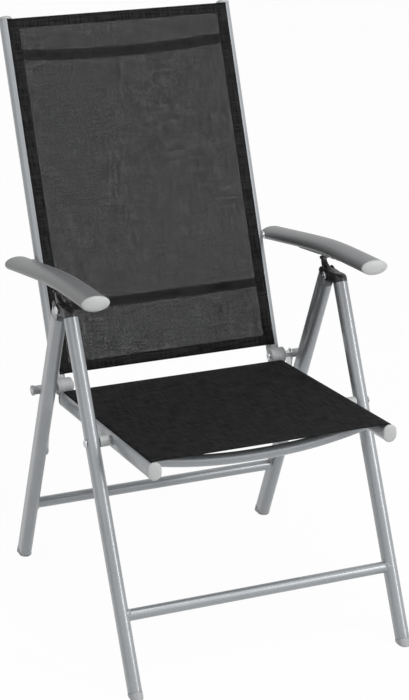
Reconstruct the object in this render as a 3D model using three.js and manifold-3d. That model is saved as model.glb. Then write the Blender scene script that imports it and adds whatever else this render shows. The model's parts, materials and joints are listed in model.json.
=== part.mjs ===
// Folding high-back garden chair: oval aluminium tubes, mesh slings, reclining back.
// Millimetres, +Z up, the sitter faces -Y, the floor is Z = 0.
import * as THREE from 'three';
import { mergeVertices } from 'three/addons/utils/BufferGeometryUtils.js';
import Module from 'manifold-3d';

const wasm = await Module();
wasm.setup();

// Driving sizes: the planes of the tubes
const LEG_X = 269.5;
const RAIL_INSET = 42.8;
const RAIL_X = LEG_X - RAIL_INSET;
const FIT = 0.3;
const WALL = 1.6;
const MERGE = 0.5;
const CAP_OVERHANG = 0.4;
const CAP_PLUG = 14;

// Legs
const FRONT_FOOT_Y = -330.6;
const REAR_FOOT_Y = 330.6;
const FRONT_LEAN = 25.94;
const REAR_LEAN = 25.53;
const FRONT_LEG_W = 24.5;
const FRONT_LEG_D = 31;
const REAR_LEG_W = 24;
const REAR_LEG_D = 38;
const FRONT_LEG_TOP_Z = 624;
const FORK_ABOVE_PIVOT = 15;
const FORK_DEPTH = 48;
const FORK_CHEEK = 1.9;
const FOOT_LIP = 0.5;
const FOOT_SOLE = 3.5;
const FOOT_PLUG = 30;
const FOOT_ROUND = 3;
const CROSSBAR_D = 22;
const CROSSBAR_WALL = 1.5;
const FRONT_CROSSBAR_Z = 133.9;
const REAR_CROSSBAR_Z = 139.6;

// Pivot points in the side plane, as [y, z]
const LEG_PIVOT = [18, 627];
const SEAT_PIVOT_Z = 419;
const HINGE = [164, 421];
const LINK_PIVOT_Z = 282;
const TONGUE_PIN = [47, 653.6];
const ARM_PIVOT_Z = 640;

// Seat
const SEAT_RISE = 4.25;
const SEAT_RAIL_W = 25;
const SEAT_RAIL_D = 32;
const SEAT_FRONT = 200;
const SEAT_RAIL_REAR = 273;
const SEAT_BAR_D = 22;
const SEAT_FRONT_BAR_AT = -117;
const SEAT_REAR_BAR_AT = 205;
const SEAT_BAR_DROP = 4;
const SEAT_FRONT_BAR_SAG = 25.5;
const SEAT_REAR_BAR_SAG = 20;
const SEAT_CAP_LIP = 2.2;
const SEAT_CAP_DOME = 3.2;

// Back
const BACK_LEAN = 21.75;
const BACK_AXIS_Y = 185.2;
const BACK_AXIS_Z = 420;
const BACK_RAIL_W = 24.3;
const BACK_RAIL_D = 26.4;
const BACK_RAIL_FROM = 26;
const BACK_RAIL_TO = 711.5;
const BACK_BAR_D = 19;
const BACK_TOP_BAR_AT = 645;
const BACK_LOWER_BAR_AT = 151.5;
const BACK_BAR_SET = 2;
const BACK_BAR_BOW = 26;
const BACK_CAP_DOME = 7;
const BACK_CAP_ROUND = 3;

// Shape of a bowed bar, from the rail to the middle, as [share of the half width, share of the bow]
const BOW_STATIONS = [[1, 0], [0.8, 0.34], [0.45, 0.9], [0, 1]];

// Hinge barrels, bolts, links
const BARREL_D = 32;
const BARREL_LENGTH = 31;
const BARREL_SET = 2.2;
const BARREL_ROUND = 2.5;
const BARREL_PLAY = 0.6;
const BOLT_D = 9;
const BOLT_HEAD_D = 15;
const BOLT_HEAD_H = 3;
const SHOULDER_D = 14;
const STRAP_T = 2.7;
const STRAP_W = 22;
const PEG_REACH = 20.5;
const SLEEVE_D = 17;
const SLEEVE_FLANGE_D = 20;
const SLEEVE_FLANGE_T = 4;
const RIVET_D = 8;
const RIVET_HEAD_D = 16;
const RIVET_HEAD_H = 4;
const SPACER_D = 21;

// Leg head bracket
const BRACKET_PLUG = 34;
const BRACKET_HEAD = 20;
const BRACKET_CHAMFER = 4;
const LUG_R = 12;
const LUG_ARC_FROM = -126;
const TONGUE_T = 9;
const TONGUE_RIM = 1;
const TONGUE_WAIST = 4;
const TONGUE_ROOT = 2;
const TONGUE_PLAY = 0.5;
const PIN_D = 6;
const PIN_LENGTH = 15.5;

// Armrest
const ARM_W = 52;
const ARM_H = 27;
const ARM_WALL = 2;
const ARM_RADIUS = 1900;
const ARM_CREST_Y = -190;
const ARM_FRONT_Y = -163;
const ARM_REAR_Y = 284;
const ARM_CAP_LIP = 3;
const ARM_CAP_DOME = 5;
const ARM_REAR_DOME = 12;
const ARM_BOLT_REACH = 20;
const NOTCH_RAIL_W = 16;
const NOTCH_RAIL_H = 9;
const NOTCH_PITCH = 22.2;
const NOTCH_RAIL_REAR = 95;
const NOTCHES_RECLINED = 4;
const NOTCH_RAIL_END = 16;
const NOTCH_GAP = 2.4;
const NOTCH_PLAY = 0.5;

// Slings
const SLING_T = 1.5;
const SLING_EDGE = 3;
const SEAT_SLING_SAG = 3;
const SEAT_SLING_INSET = 0.5;
const SEAT_SLING_REAR = 268;
const SEAT_SLING_TAIL = 276.5;
const SLING_ROOM = 5;
const BACK_SLING_SAG = 7;
const BACK_SLING_FROM = 23;
const BACK_SLING_INSET = 0.5;

const X_AXIS = new THREE.Vector3(1, 0, 0);
const rad = THREE.MathUtils.degToRad;
const QUARTER_TURN = 90;
const WELD = 1e-4;
const ARC_STEPS = 4;
const BEVEL_STEPS = 2;
const ROD_SIDES = 10;
const BARREL_SIDES = 16;
const HEAD_STEPS = 3;
const ARM_STEPS = 7;
const ARM_ARC_STEPS = 7;
const DOME_STEPS = 5;
const BAR_STEPS = 8;
const BAR_ARC_STEPS = 4;
const SLING_STEPS = 8;

// Points on the tubes that follow from the driving sizes
const tan = (degrees) => Math.tan(rad(degrees));
const frontLegY = (z) => FRONT_FOOT_Y + z * tan(FRONT_LEAN);
const rearLegY = (z) => REAR_FOOT_Y - z * tan(REAR_LEAN);
const SEAT_PIVOT = [frontLegY(SEAT_PIVOT_Z), SEAT_PIVOT_Z];
const LINK_PIVOT = [rearLegY(LINK_PIVOT_Z), LINK_PIVOT_Z];
const backAxisY = (z) => BACK_AXIS_Y + (z - BACK_AXIS_Z) * tan(BACK_LEAN);
const ARM_PIVOT = [backAxisY(ARM_PIVOT_Z), ARM_PIVOT_Z];

// Materials
const finish = (color, roughness, metalness) => ({ color, roughness, metalness });
const SILVER = finish(0xa4a8ac, 0.42, 0.55);
const CAP_GREY = finish(0xc4c8ca, 0.5, 0);
const FOOT_GREY = finish(0x9a9ea2, 0.55, 0);
const DARK_PLASTIC = finish(0x2c2e30, 0.5, 0);
const MESH_CLOTH = finish(0x242526, 0.85, 0);
const STEEL = finish(0xb9bcc0, 0.3, 0.9);

// Solids and booleans
function solid(geometry) {
  const bare = geometry.clone();
  bare.deleteAttribute('normal');
  bare.deleteAttribute('uv');
  const merged = mergeVertices(bare, WELD);
  return new wasm.Manifold(new wasm.Mesh({
    numProp: 3,
    vertProperties: new Float32Array(merged.attributes.position.array),
    triVerts: new Uint32Array(merged.index.array),
  }));
}

function toGeometry(manifold) {
  const mesh = manifold.getMesh();
  const geometry = new THREE.BufferGeometry();
  geometry.setAttribute('position', new THREE.BufferAttribute(mesh.vertProperties, 3));
  geometry.setIndex(new THREE.BufferAttribute(mesh.triVerts, 1));
  geometry.computeVertexNormals();
  return geometry;
}

const join = (first, ...others) => others.reduce((sum, other) => sum.add(other), first);
const cut = (body, ...tools) => tools.reduce((rest, tool) => rest.subtract(tool), body);

// A frame in the side plane: origin at [y, z], local Z along a direction that leans to +Y
function placed(geometry, x, [y, z], lean) {
  const turn = new THREE.Matrix4().makeRotationX(-rad(lean));
  const shift = new THREE.Matrix4().makeTranslation(x, y, z);
  return geometry.clone().applyMatrix4(shift.multiply(turn));
}

// Oval with two flat sides: width along X, depth along local Y
function ovalOutline(outline, width, depth) {
  const r = width / 2;
  const half = depth / 2 - r;
  outline.moveTo(r, -half);
  outline.lineTo(r, half);
  outline.absarc(0, half, r, 0, Math.PI, false);
  outline.lineTo(-r, -half);
  outline.absarc(0, -half, r, Math.PI, 2 * Math.PI, false);
  return outline;
}

function ovalBar(width, depth, from, to, bevel = 0) {
  const shape = ovalOutline(new THREE.Shape(), width - 2 * bevel, depth - 2 * bevel);
  const geometry = new THREE.ExtrudeGeometry(shape, {
    depth: to - from - 2 * bevel,
    curveSegments: ARC_STEPS,
    bevelEnabled: bevel > 0,
    bevelThickness: bevel,
    bevelSize: bevel,
    bevelSegments: BEVEL_STEPS,
  });
  return geometry.translate(0, 0, from + bevel);
}

function ovalTube(width, depth, wall, from, to) {
  const shape = ovalOutline(new THREE.Shape(), width, depth);
  shape.holes.push(ovalOutline(new THREE.Path(), width - 2 * wall, depth - 2 * wall));
  const geometry = new THREE.ExtrudeGeometry(shape, {
    depth: to - from,
    curveSegments: ARC_STEPS,
    bevelEnabled: false,
  });
  return geometry.translate(0, 0, from);
}

// A turned piece on the X axis: profile pairs are [x, radius], from the inner end outwards
function turned(profile, segments = ROD_SIDES) {
  const points = profile.map(([x, r]) => new THREE.Vector2(r, x));
  const geometry = new THREE.LatheGeometry(points, segments);
  return geometry.rotateZ(-Math.PI / 2);
}

const rod = (diameter, from, to, segments) => turned(
  [[from, 0], [from, diameter / 2], [to, diameter / 2], [to, 0]],
  segments,
);

const rodAt = (diameter, from, to, [y, z], segments) => (
  rod(diameter, from, to, segments).translate(0, y, z)
);

const ring = (outer, inner, from, to) => turned(
  [[from, inner / 2], [from, outer / 2], [to, outer / 2], [to, inner / 2], [from, inner / 2]],
);

// A side-plane outline given as a Shape in (y, z), made a plate between two X planes
function plate(shape, from, to) {
  const geometry = new THREE.ExtrudeGeometry(shape, {
    depth: to - from,
    curveSegments: ARC_STEPS,
    bevelEnabled: false,
  });
  const axes = new THREE.Matrix4().makeBasis(
    new THREE.Vector3(0, 1, 0),
    new THREE.Vector3(0, 0, 1),
    X_AXIS,
  );
  return geometry.applyMatrix4(axes).translate(from, 0, 0);
}

const chair = new THREE.Group();
chair.name = 'folding_garden_chair';

function addPiece(name, body, look) {
  const geometry = body.isBufferGeometry ? body : toGeometry(body);
  const mesh = new THREE.Mesh(geometry, new THREE.MeshStandardMaterial(look));
  mesh.name = name;
  chair.add(mesh);
}

// Left pieces are right pieces turned over the middle plane
function mirrored(manifold) {
  const mesh = manifold.getMesh();
  const vertProperties = mesh.vertProperties.map((value, i) => (i % 3 === 0 ? -value : value));
  const triVerts = new Uint32Array(mesh.triVerts.length);
  for (let i = 0; i < triVerts.length; i += 3) {
    triVerts[i] = mesh.triVerts[i];
    triVerts[i + 1] = mesh.triVerts[i + 2];
    triVerts[i + 2] = mesh.triVerts[i + 1];
  }
  return new wasm.Manifold(new wasm.Mesh({ numProp: 3, vertProperties, triVerts }));
}

function addPair(name, right, look) {
  addPiece(`${name}_R`, right, look);
  addPiece(`${name}_L`, mirrored(right), look);
}

const plugSize = (size) => size - 2 * (WALL + FIT);
const BORE = BOLT_D + 2 * FIT;
const RIVET_BORE = RIVET_D + 2 * FIT;

// Legs: axial stations measured along the leg from the floor point
const alongFront = (z) => z / Math.cos(rad(FRONT_LEAN));
const alongRear = (z) => z / Math.cos(rad(REAR_LEAN));
const FRONT_FOOT = [FRONT_FOOT_Y, 0];
const REAR_FOOT = [REAR_FOOT_Y, 0];
const BIG = 400;

function legReach(depth, lean) {
  return (depth / 2) * tan(Math.abs(lean));
}

// Foot: a cap flush with the tube, cut level with the floor, on a plug inside the tube
function foot(width, depth, lean, point) {
  const reach = legReach(depth, lean);
  const seam = reach + FOOT_SOLE;
  const place = (geometry) => solid(placed(geometry, LEG_X, point, lean));
  const cap = place(ovalBar(
    width + 2 * FOOT_LIP, depth + 2 * FOOT_LIP, -reach - FOOT_ROUND, seam, FOOT_ROUND / 2,
  ));
  const plug = place(ovalBar(plugSize(width), plugSize(depth), 0, seam + FOOT_PLUG));
  const ground = solid(new THREE.BoxGeometry(BIG, BIG, BIG).translate(LEG_X, point[0], -BIG / 2));
  return { body: cut(join(cap, plug), ground), tubeFrom: seam + FIT };
}

const frontFoot = foot(FRONT_LEG_W, FRONT_LEG_D, FRONT_LEAN, FRONT_FOOT);
const rearFoot = foot(REAR_LEG_W, REAR_LEG_D, -REAR_LEAN, REAR_FOOT);

const frontLeg = cut(
  solid(placed(
    ovalTube(FRONT_LEG_W, FRONT_LEG_D, WALL, frontFoot.tubeFrom, alongFront(FRONT_LEG_TOP_Z)),
    LEG_X, FRONT_FOOT, FRONT_LEAN,
  )),
  solid(rodAt(RIVET_BORE, RAIL_X, LEG_X + FRONT_LEG_W, SEAT_PIVOT)),
);

// Rear leg: its head is an open fork, two rounded cheeks that take the bracket lug
const REAR_LEG_TOP = alongRear(LEG_PIVOT[1]) + FORK_ABOVE_PIVOT;
const forkFrom = REAR_LEG_TOP - FORK_DEPTH - FORK_ABOVE_PIVOT;
const forkRound = REAR_LEG_D / 2;
const rearTube = solid(placed(
  ovalTube(REAR_LEG_W, REAR_LEG_D, WALL, rearFoot.tubeFrom, REAR_LEG_TOP),
  LEG_X, REAR_FOOT, -REAR_LEAN,
));
const forkSlot = solid(placed(
  new THREE.BoxGeometry(REAR_LEG_W - 2 * FORK_CHEEK, 3 * REAR_LEG_D, 2 * FORK_DEPTH)
    .translate(0, 0, forkFrom + FORK_DEPTH),
  LEG_X, REAR_FOOT, -REAR_LEAN,
));
const forkEnd = solid(placed(
  new THREE.BoxGeometry(2 * REAR_LEG_W, 3 * REAR_LEG_D, 2 * forkRound)
    .translate(0, 0, REAR_LEG_TOP),
  LEG_X, REAR_FOOT, -REAR_LEAN,
));
const forkCrown = solid(placed(
  rod(REAR_LEG_D, -REAR_LEG_W, REAR_LEG_W).translate(0, 0, REAR_LEG_TOP - forkRound),
  LEG_X, REAR_FOOT, -REAR_LEAN,
));
const rearLeg = cut(
  rearTube,
  forkSlot,
  cut(forkEnd, forkCrown),
  solid(rodAt(BORE, RAIL_X, LEG_X + REAR_LEG_W, LEG_PIVOT)),
);

// Crossbars end in saddles against the legs
function crossbar(width, depth, point, lean, y, z) {
  const tube = solid(ring(CROSSBAR_D, CROSSBAR_D - 2 * CROSSBAR_WALL, -LEG_X, LEG_X).translate(0, y, z));
  const saddle = (x) => solid(placed(
    ovalBar(width + 2 * FIT, depth + 2 * FIT, -BIG, 2 * BIG),
    x, point, lean,
  ));
  return cut(tube, saddle(LEG_X), saddle(-LEG_X));
}

const frontCrossbar = crossbar(
  FRONT_LEG_W, FRONT_LEG_D, FRONT_FOOT, FRONT_LEAN, frontLegY(FRONT_CROSSBAR_Z), FRONT_CROSSBAR_Z,
);
const rearCrossbar = crossbar(
  REAR_LEG_W, REAR_LEG_D, REAR_FOOT, -REAR_LEAN, rearLegY(REAR_CROSSBAR_Z), REAR_CROSSBAR_Z,
);

// Leg head bracket: plug and cap on the front leg, lug in the fork, tongue with a cross pin
const frontTop = alongFront(FRONT_LEG_TOP_Z);
const frontPoint = (along, back) => [
  FRONT_FOOT_Y + along * Math.sin(rad(FRONT_LEAN)) + back * Math.cos(rad(FRONT_LEAN)),
  along * Math.cos(rad(FRONT_LEAN)) - back * Math.sin(rad(FRONT_LEAN)),
];

function bracketLug() {
  const [py, pz] = LEG_PIVOT;
  const [hy, hz] = frontPoint(frontTop + BRACKET_HEAD - BRACKET_CHAMFER, 0);
  const [ly, lz] = frontPoint(frontTop + FIT + MERGE, 0);
  const shape = new THREE.Shape();
  shape.moveTo(ly, lz);
  shape.absarc(py, pz, LUG_R, rad(LUG_ARC_FROM), Math.PI / 2, false);
  shape.lineTo(hy, hz);
  shape.closePath();
  return shape;
}

function bracketTongue() {
  const [py, pz] = LEG_PIVOT;
  const [ty, tz] = TONGUE_PIN;
  const half = PIN_D / 2 + TONGUE_RIM;
  const diagonal = LUG_R * Math.SQRT1_2;
  const shape = new THREE.Shape();
  shape.moveTo(py - LUG_R, pz);
  shape.lineTo(py + diagonal, pz - diagonal);
  shape.quadraticCurveTo(ty + half, pz + TONGUE_WAIST, ty + half, tz);
  shape.absarc(ty, tz, half, 0, Math.PI, false);
  shape.quadraticCurveTo(ty - half - TONGUE_ROOT, pz + LUG_R, py - LUG_R, pz + LUG_R);
  shape.closePath();
  return shape;
}

const lugHalf = REAR_LEG_W / 2 - FORK_CHEEK - FIT;
const legBracket = cut(
  join(
    solid(placed(
      ovalBar(FRONT_LEG_W, FRONT_LEG_D, frontTop + FIT, frontTop + BRACKET_HEAD, BRACKET_CHAMFER / 2),
      LEG_X, FRONT_FOOT, FRONT_LEAN,
    )),
    solid(placed(
      ovalBar(
        plugSize(FRONT_LEG_W), plugSize(FRONT_LEG_D),
        frontTop - BRACKET_PLUG, frontTop + BRACKET_HEAD / 2,
      ),
      LEG_X, FRONT_FOOT, FRONT_LEAN,
    )),
    solid(plate(bracketLug(), LEG_X - lugHalf, LEG_X + lugHalf)),
    solid(plate(bracketTongue(), LEG_X - TONGUE_T / 2, LEG_X + TONGUE_T / 2)),
    solid(rodAt(PIN_D, LEG_X - PIN_LENGTH / 2, LEG_X + PIN_LENGTH / 2, TONGUE_PIN)),
  ),
  solid(rodAt(BORE, LEG_X - REAR_LEG_W, LEG_X + REAR_LEG_W, LEG_PIVOT)),
);

// Bolts and rivets
function domedHead(x, diameter, height) {
  const profile = [];
  for (let i = 0; i < HEAD_STEPS; i += 1) {
    const turn = (i / HEAD_STEPS) * (Math.PI / 2);
    profile.push([x + height * Math.sin(turn), (diameter / 2) * Math.cos(turn)]);
  }
  return [...profile, [x + height, 0]];
}
const innerHead = (x, diameter, height) => [
  [x - height, 0],
  [x - height, (diameter - height) / 2],
  [x - height / 2, diameter / 2],
  [x, diameter / 2],
];

const legBoltIn = LEG_X - REAR_LEG_W / 2 - FIT;
const legBoltOut = LEG_X + REAR_LEG_W / 2 + FIT;
const legPivotBolt = solid(turned([
  ...innerHead(legBoltIn, BOLT_HEAD_D, BOLT_HEAD_H),
  [legBoltIn, BOLT_D / 2],
  [legBoltOut, BOLT_D / 2],
  ...domedHead(legBoltOut, BOLT_HEAD_D, BOLT_HEAD_H),
]).translate(0, ...LEG_PIVOT));

const seatRivetIn = RAIL_X - SEAT_RAIL_W / 2 - FIT;
const seatRivetOut = LEG_X + FRONT_LEG_W / 2 + FIT;
const seatPivotRivet = solid(turned([
  ...innerHead(seatRivetIn, RIVET_HEAD_D, RIVET_HEAD_H / 2),
  [seatRivetIn, RIVET_D / 2],
  [seatRivetOut, RIVET_D / 2],
  ...domedHead(seatRivetOut, RIVET_HEAD_D, RIVET_HEAD_H),
]).translate(0, ...SEAT_PIVOT));

const seatSpacer = solid(ring(
  SPACER_D, RIVET_BORE, RAIL_X + SEAT_RAIL_W / 2 + FIT, LEG_X - FRONT_LEG_W / 2 - FIT,
).translate(0, ...SEAT_PIVOT));

// Seat: stations run rearwards along the rail from the seat pivot
const SEAT_LEAN = QUARTER_TURN + SEAT_RISE;
const seatPlaced = (geometry, x) => placed(geometry, x, SEAT_PIVOT, SEAT_LEAN);
const seatRail = cut(
  solid(seatPlaced(ovalTube(SEAT_RAIL_W, SEAT_RAIL_D, WALL, -SEAT_FRONT, SEAT_RAIL_REAR), RAIL_X)),
  solid(rodAt(RIVET_BORE, 0, LEG_X, SEAT_PIVOT)),
);

const seatRailCap = join(
  solid(seatPlaced(ovalBar(
    SEAT_RAIL_W + 2 * CAP_OVERHANG, SEAT_RAIL_D + 2 * CAP_OVERHANG,
    -SEAT_FRONT - SEAT_CAP_LIP - SEAT_CAP_DOME, -SEAT_FRONT - FIT, SEAT_CAP_LIP / 2,
  ), RAIL_X)),
  solid(seatPlaced(ovalBar(
    plugSize(SEAT_RAIL_W), plugSize(SEAT_RAIL_D),
    -SEAT_FRONT - SEAT_CAP_LIP, -SEAT_FRONT + CAP_PLUG,
  ), RAIL_X)),
);

// Hinge barrels: the seat's is the outer half, the back's the inner half
const BARREL_MID = RAIL_X - BARREL_SET;
const BARREL_IN = BARREL_MID - BARREL_LENGTH / 2;
const BARREL_OUT = BARREL_MID + BARREL_LENGTH / 2;
const barrelHalf = (from, to) => {
  const r = BARREL_D / 2;
  const corner = BARREL_ROUND * (1 - Math.SQRT1_2);
  return turned([
    [from, 0],
    [from, r - BARREL_ROUND],
    [from + corner, r - corner],
    [from + BARREL_ROUND, r],
    [to, r],
    [to, 0],
  ], BARREL_SIDES).translate(0, ...HINGE);
};
const barrelRoom = (from, to) => solid(
  rodAt(BARREL_D + 2 * BARREL_PLAY, from, to, HINGE, BARREL_SIDES),
);
const hingeBore = solid(rodAt(BORE, 0, LEG_X, HINGE));
const KNUCKLE_TAIL = 24;
const KNUCKLE_PLUG = 30;

const seatKnuckle = cut(
  join(
    cut(
      join(
        solid(seatPlaced(ovalBar(
          SEAT_RAIL_W, SEAT_RAIL_D,
          SEAT_RAIL_REAR + FIT, SEAT_RAIL_REAR + KNUCKLE_TAIL + FIT, BARREL_ROUND,
        ), RAIL_X)),
        solid(seatPlaced(ovalBar(
          plugSize(SEAT_RAIL_W), plugSize(SEAT_RAIL_D),
          SEAT_RAIL_REAR - KNUCKLE_PLUG, SEAT_RAIL_REAR + KNUCKLE_TAIL / 2,
        ), RAIL_X)),
      ),
      barrelRoom(BARREL_IN - BARREL_PLAY, BARREL_MID + FIT / 2),
    ),
    solid(rodAt(BARREL_D, BARREL_MID + FIT / 2, BARREL_OUT, HINGE, BARREL_SIDES)),
  ),
  hingeBore,
);

// Back: stations run up the rail from the foot of the hinge on the rail axis
const along = (HINGE[0] - BACK_AXIS_Y) * Math.sin(rad(BACK_LEAN))
  + (HINGE[1] - BACK_AXIS_Z) * Math.cos(rad(BACK_LEAN));
const BACK_FOOT = [
  BACK_AXIS_Y + along * Math.sin(rad(BACK_LEAN)),
  BACK_AXIS_Z + along * Math.cos(rad(BACK_LEAN)),
];
const backPlaced = (geometry, x) => placed(geometry, x, BACK_FOOT, BACK_LEAN);
const backRail = cut(
  solid(backPlaced(ovalTube(BACK_RAIL_W, BACK_RAIL_D, WALL, BACK_RAIL_FROM, BACK_RAIL_TO), RAIL_X)),
  solid(rodAt(BORE, 0, LEG_X, ARM_PIVOT)),
);

const backRailCap = join(
  solid(backPlaced(ovalBar(
    BACK_RAIL_W + 2 * CAP_OVERHANG, BACK_RAIL_D + 2 * CAP_OVERHANG,
    BACK_RAIL_TO + FIT, BACK_RAIL_TO + FIT + BACK_CAP_DOME, BACK_CAP_ROUND,
  ), RAIL_X)),
  solid(backPlaced(ovalBar(
    plugSize(BACK_RAIL_W), plugSize(BACK_RAIL_D),
    BACK_RAIL_TO - CAP_PLUG, BACK_RAIL_TO + BACK_CAP_DOME / 2,
  ), RAIL_X)),
);

const BACK_KNUCKLE_FOOT = 4;
const backKnuckle = cut(
  join(
    cut(
      join(
        solid(backPlaced(ovalBar(
          BACK_RAIL_W, BACK_RAIL_D, BACK_KNUCKLE_FOOT, BACK_RAIL_FROM - FIT, BARREL_ROUND,
        ), RAIL_X)),
        solid(backPlaced(ovalBar(
          plugSize(BACK_RAIL_W), plugSize(BACK_RAIL_D),
          BACK_RAIL_FROM - KNUCKLE_TAIL / 2, BACK_RAIL_FROM + KNUCKLE_PLUG,
        ), RAIL_X)),
      ),
      barrelRoom(BARREL_MID - FIT / 2, BARREL_OUT + BARREL_PLAY),
    ),
    solid(barrelHalf(BARREL_IN, BARREL_MID - FIT / 2)),
  ),
  hingeBore,
);

// Hinge bolt: shank in the barrels, a shoulder, the strap seat, then the peg core behind the leg
const strapOut = LEG_X - Math.max(FRONT_LEG_W, REAR_LEG_W) / 2 - 2 * FIT;
const strapIn = strapOut - STRAP_T;
const PEG_END_X = LEG_X + PEG_REACH;
const hingeBolt = solid(turned([
  ...innerHead(BARREL_IN - FIT, BOLT_HEAD_D, BOLT_HEAD_H),
  [BARREL_IN - FIT, BOLT_D / 2],
  [BARREL_OUT + FIT, BOLT_D / 2],
  [BARREL_OUT + FIT, SHOULDER_D / 2],
  [strapIn - FIT, SHOULDER_D / 2],
  [strapIn - FIT, BOLT_D / 2],
  [PEG_END_X - FIT, BOLT_D / 2],
  [PEG_END_X - FIT, 0],
]).translate(0, ...HINGE));
const stopSleeve = solid(turned([
  [strapOut + FIT, BORE / 2],
  [strapOut + FIT, SLEEVE_D / 2],
  [PEG_END_X - SLEEVE_FLANGE_T, SLEEVE_D / 2],
  [PEG_END_X - SLEEVE_FLANGE_T, SLEEVE_FLANGE_D / 2],
  [PEG_END_X, SLEEVE_FLANGE_D / 2],
  [PEG_END_X, BORE / 2],
  [strapOut + FIT, BORE / 2],
]).translate(0, ...HINGE));

function linkOutline() {
  const [ay, az] = HINGE;
  const [by, bz] = LINK_PIVOT;
  const turn = Math.atan2(bz - az, by - ay);
  const r = STRAP_W / 2;
  const shape = new THREE.Shape();
  shape.absarc(ay, az, r, turn + Math.PI / 2, turn + 1.5 * Math.PI, false);
  shape.absarc(by, bz, r, turn - Math.PI / 2, turn + Math.PI / 2, false);
  shape.closePath();
  return shape;
}
const linkStrap = cut(
  solid(plate(linkOutline(), strapIn, strapOut)),
  solid(rodAt(BORE, 0, LEG_X, HINGE)),
  solid(rodAt(RIVET_BORE, 0, LEG_X, LINK_PIVOT)),
);
const linkRivet = solid(turned([
  ...innerHead(strapIn - FIT, RIVET_HEAD_D, RIVET_HEAD_H / 2),
  [strapIn - FIT, RIVET_D / 2],
  [strapOut + FIT / 2, RIVET_D / 2],
  [strapOut + FIT / 2, 0],
]).translate(0, ...LINK_PIVOT));

// Spreader bars: tubes bowed away from the sling, with ends cut to the rails
function bowedBar(diameter, at, set, bow, rail, place) {
  const station = (side) => ([across, share]) => (
    new THREE.Vector3(side * RAIL_X * across, set + bow * share, at)
  );
  const left = BOW_STATIONS.map(station(-1));
  const right = BOW_STATIONS.slice(0, -1).reverse().map(station(1));
  const curve = new THREE.CatmullRomCurve3([...left, ...right]);
  const section = new THREE.Shape();
  section.absarc(0, 0, diameter / 2, 0, 2 * Math.PI, false);
  const bore = new THREE.Path();
  bore.absarc(0, 0, diameter / 2 - CROSSBAR_WALL, 0, 2 * Math.PI, false);
  section.holes.push(bore);
  const bar = new THREE.ExtrudeGeometry(section, {
    steps: BAR_STEPS,
    curveSegments: BAR_ARC_STEPS,
    extrudePath: curve,
  });
  const saddle = (x) => solid(place(
    ovalBar(rail.width + 2 * FIT, rail.depth + 2 * FIT, at - BIG, at + BIG), x,
  ));
  return cut(solid(place(bar, 0)), saddle(RAIL_X), saddle(-RAIL_X));
}
const seatSection = { width: SEAT_RAIL_W, depth: SEAT_RAIL_D };
const backSection = { width: BACK_RAIL_W, depth: BACK_RAIL_D };
const seatBar = (at, sag) => bowedBar(SEAT_BAR_D, at, SEAT_BAR_DROP, sag, seatSection, seatPlaced);
const backBar = (at) => bowedBar(BACK_BAR_D, at, BACK_BAR_SET, BACK_BAR_BOW, backSection, backPlaced);

// Armrest: an oval tube on a long arc, with its notch rail underneath
const armZ = (y) => {
  const pivotDrop = ARM_RADIUS - Math.sqrt(ARM_RADIUS ** 2 - (ARM_PIVOT[0] - ARM_CREST_Y) ** 2);
  const drop = ARM_RADIUS - Math.sqrt(ARM_RADIUS ** 2 - (y - ARM_CREST_Y) ** 2);
  return ARM_PIVOT_Z + pivotDrop - drop;
};
const armTilt = (y) => THREE.MathUtils.radToDeg(Math.atan((armZ(y + 1) - armZ(y - 1)) / 2));
class ArmCurve extends THREE.Curve {
  constructor(from, to) {
    super();
    this.from = from;
    this.to = to;
  }

  getPoint(t) {
    const y = this.from + (this.to - this.from) * t;
    return new THREE.Vector3(LEG_X, y, armZ(y));
  }
}
function armTube(width, height, wall, from, to, steps) {
  const section = new THREE.Shape();
  section.absellipse(0, 0, width / 2, height / 2, 0, 2 * Math.PI, false);
  if (wall > 0) {
    const bore = new THREE.Path();
    bore.absellipse(0, 0, width / 2 - wall, height / 2 - wall, 0, 2 * Math.PI, false);
    section.holes.push(bore);
  }
  return solid(new THREE.ExtrudeGeometry(section, {
    steps,
    curveSegments: ARM_ARC_STEPS,
    extrudePath: new ArmCurve(from, to),
  }));
}
const armBolt = solid(rodAt(BORE, 0, LEG_X, ARM_PIVOT));
const armrest = cut(armTube(ARM_W, ARM_H, ARM_WALL, ARM_REAR_Y, ARM_FRONT_Y, ARM_STEPS), armBolt);

// End caps: a lip, a shallow dome and a plug, square to the arm's end
function ellipseBar(width, height, from, to) {
  const shape = new THREE.Shape();
  shape.absellipse(0, 0, width / 2, height / 2, 0, 2 * Math.PI, false);
  const geometry = new THREE.ExtrudeGeometry(shape, {
    depth: to - from,
    curveSegments: ARM_ARC_STEPS,
    bevelEnabled: false,
  });
  return geometry.translate(0, 0, from);
}
function armCap(y, outward, lip, dome) {
  const play = 2 * (ARM_WALL + FIT);
  const lean = outward * QUARTER_TURN - armTilt(y);
  const place = (geometry) => solid(placed(geometry, LEG_X, [y, armZ(y)], lean));
  const ball = new THREE.SphereGeometry(1, 2 * ARM_ARC_STEPS, DOME_STEPS).rotateX(Math.PI / 2)
    .scale(ARM_W / 2, ARM_H / 2, dome).translate(0, 0, lip);
  const inner = new THREE.BoxGeometry(2 * ARM_W, 2 * ARM_H, 2 * dome)
    .translate(0, 0, lip - dome - MERGE);
  return join(
    cut(place(ball), place(inner)),
    place(ellipseBar(ARM_W, ARM_H, FIT, lip)),
    place(ellipseBar(ARM_W - play, ARM_H - play, -CAP_PLUG, lip / 2)),
  );
}
const armFrontCap = armCap(ARM_FRONT_Y, -1, ARM_CAP_LIP, ARM_CAP_DOME);
const armRearCap = cut(armCap(ARM_REAR_Y, 1, ARM_CAP_LIP, ARM_REAR_DOME), armBolt);

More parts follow.
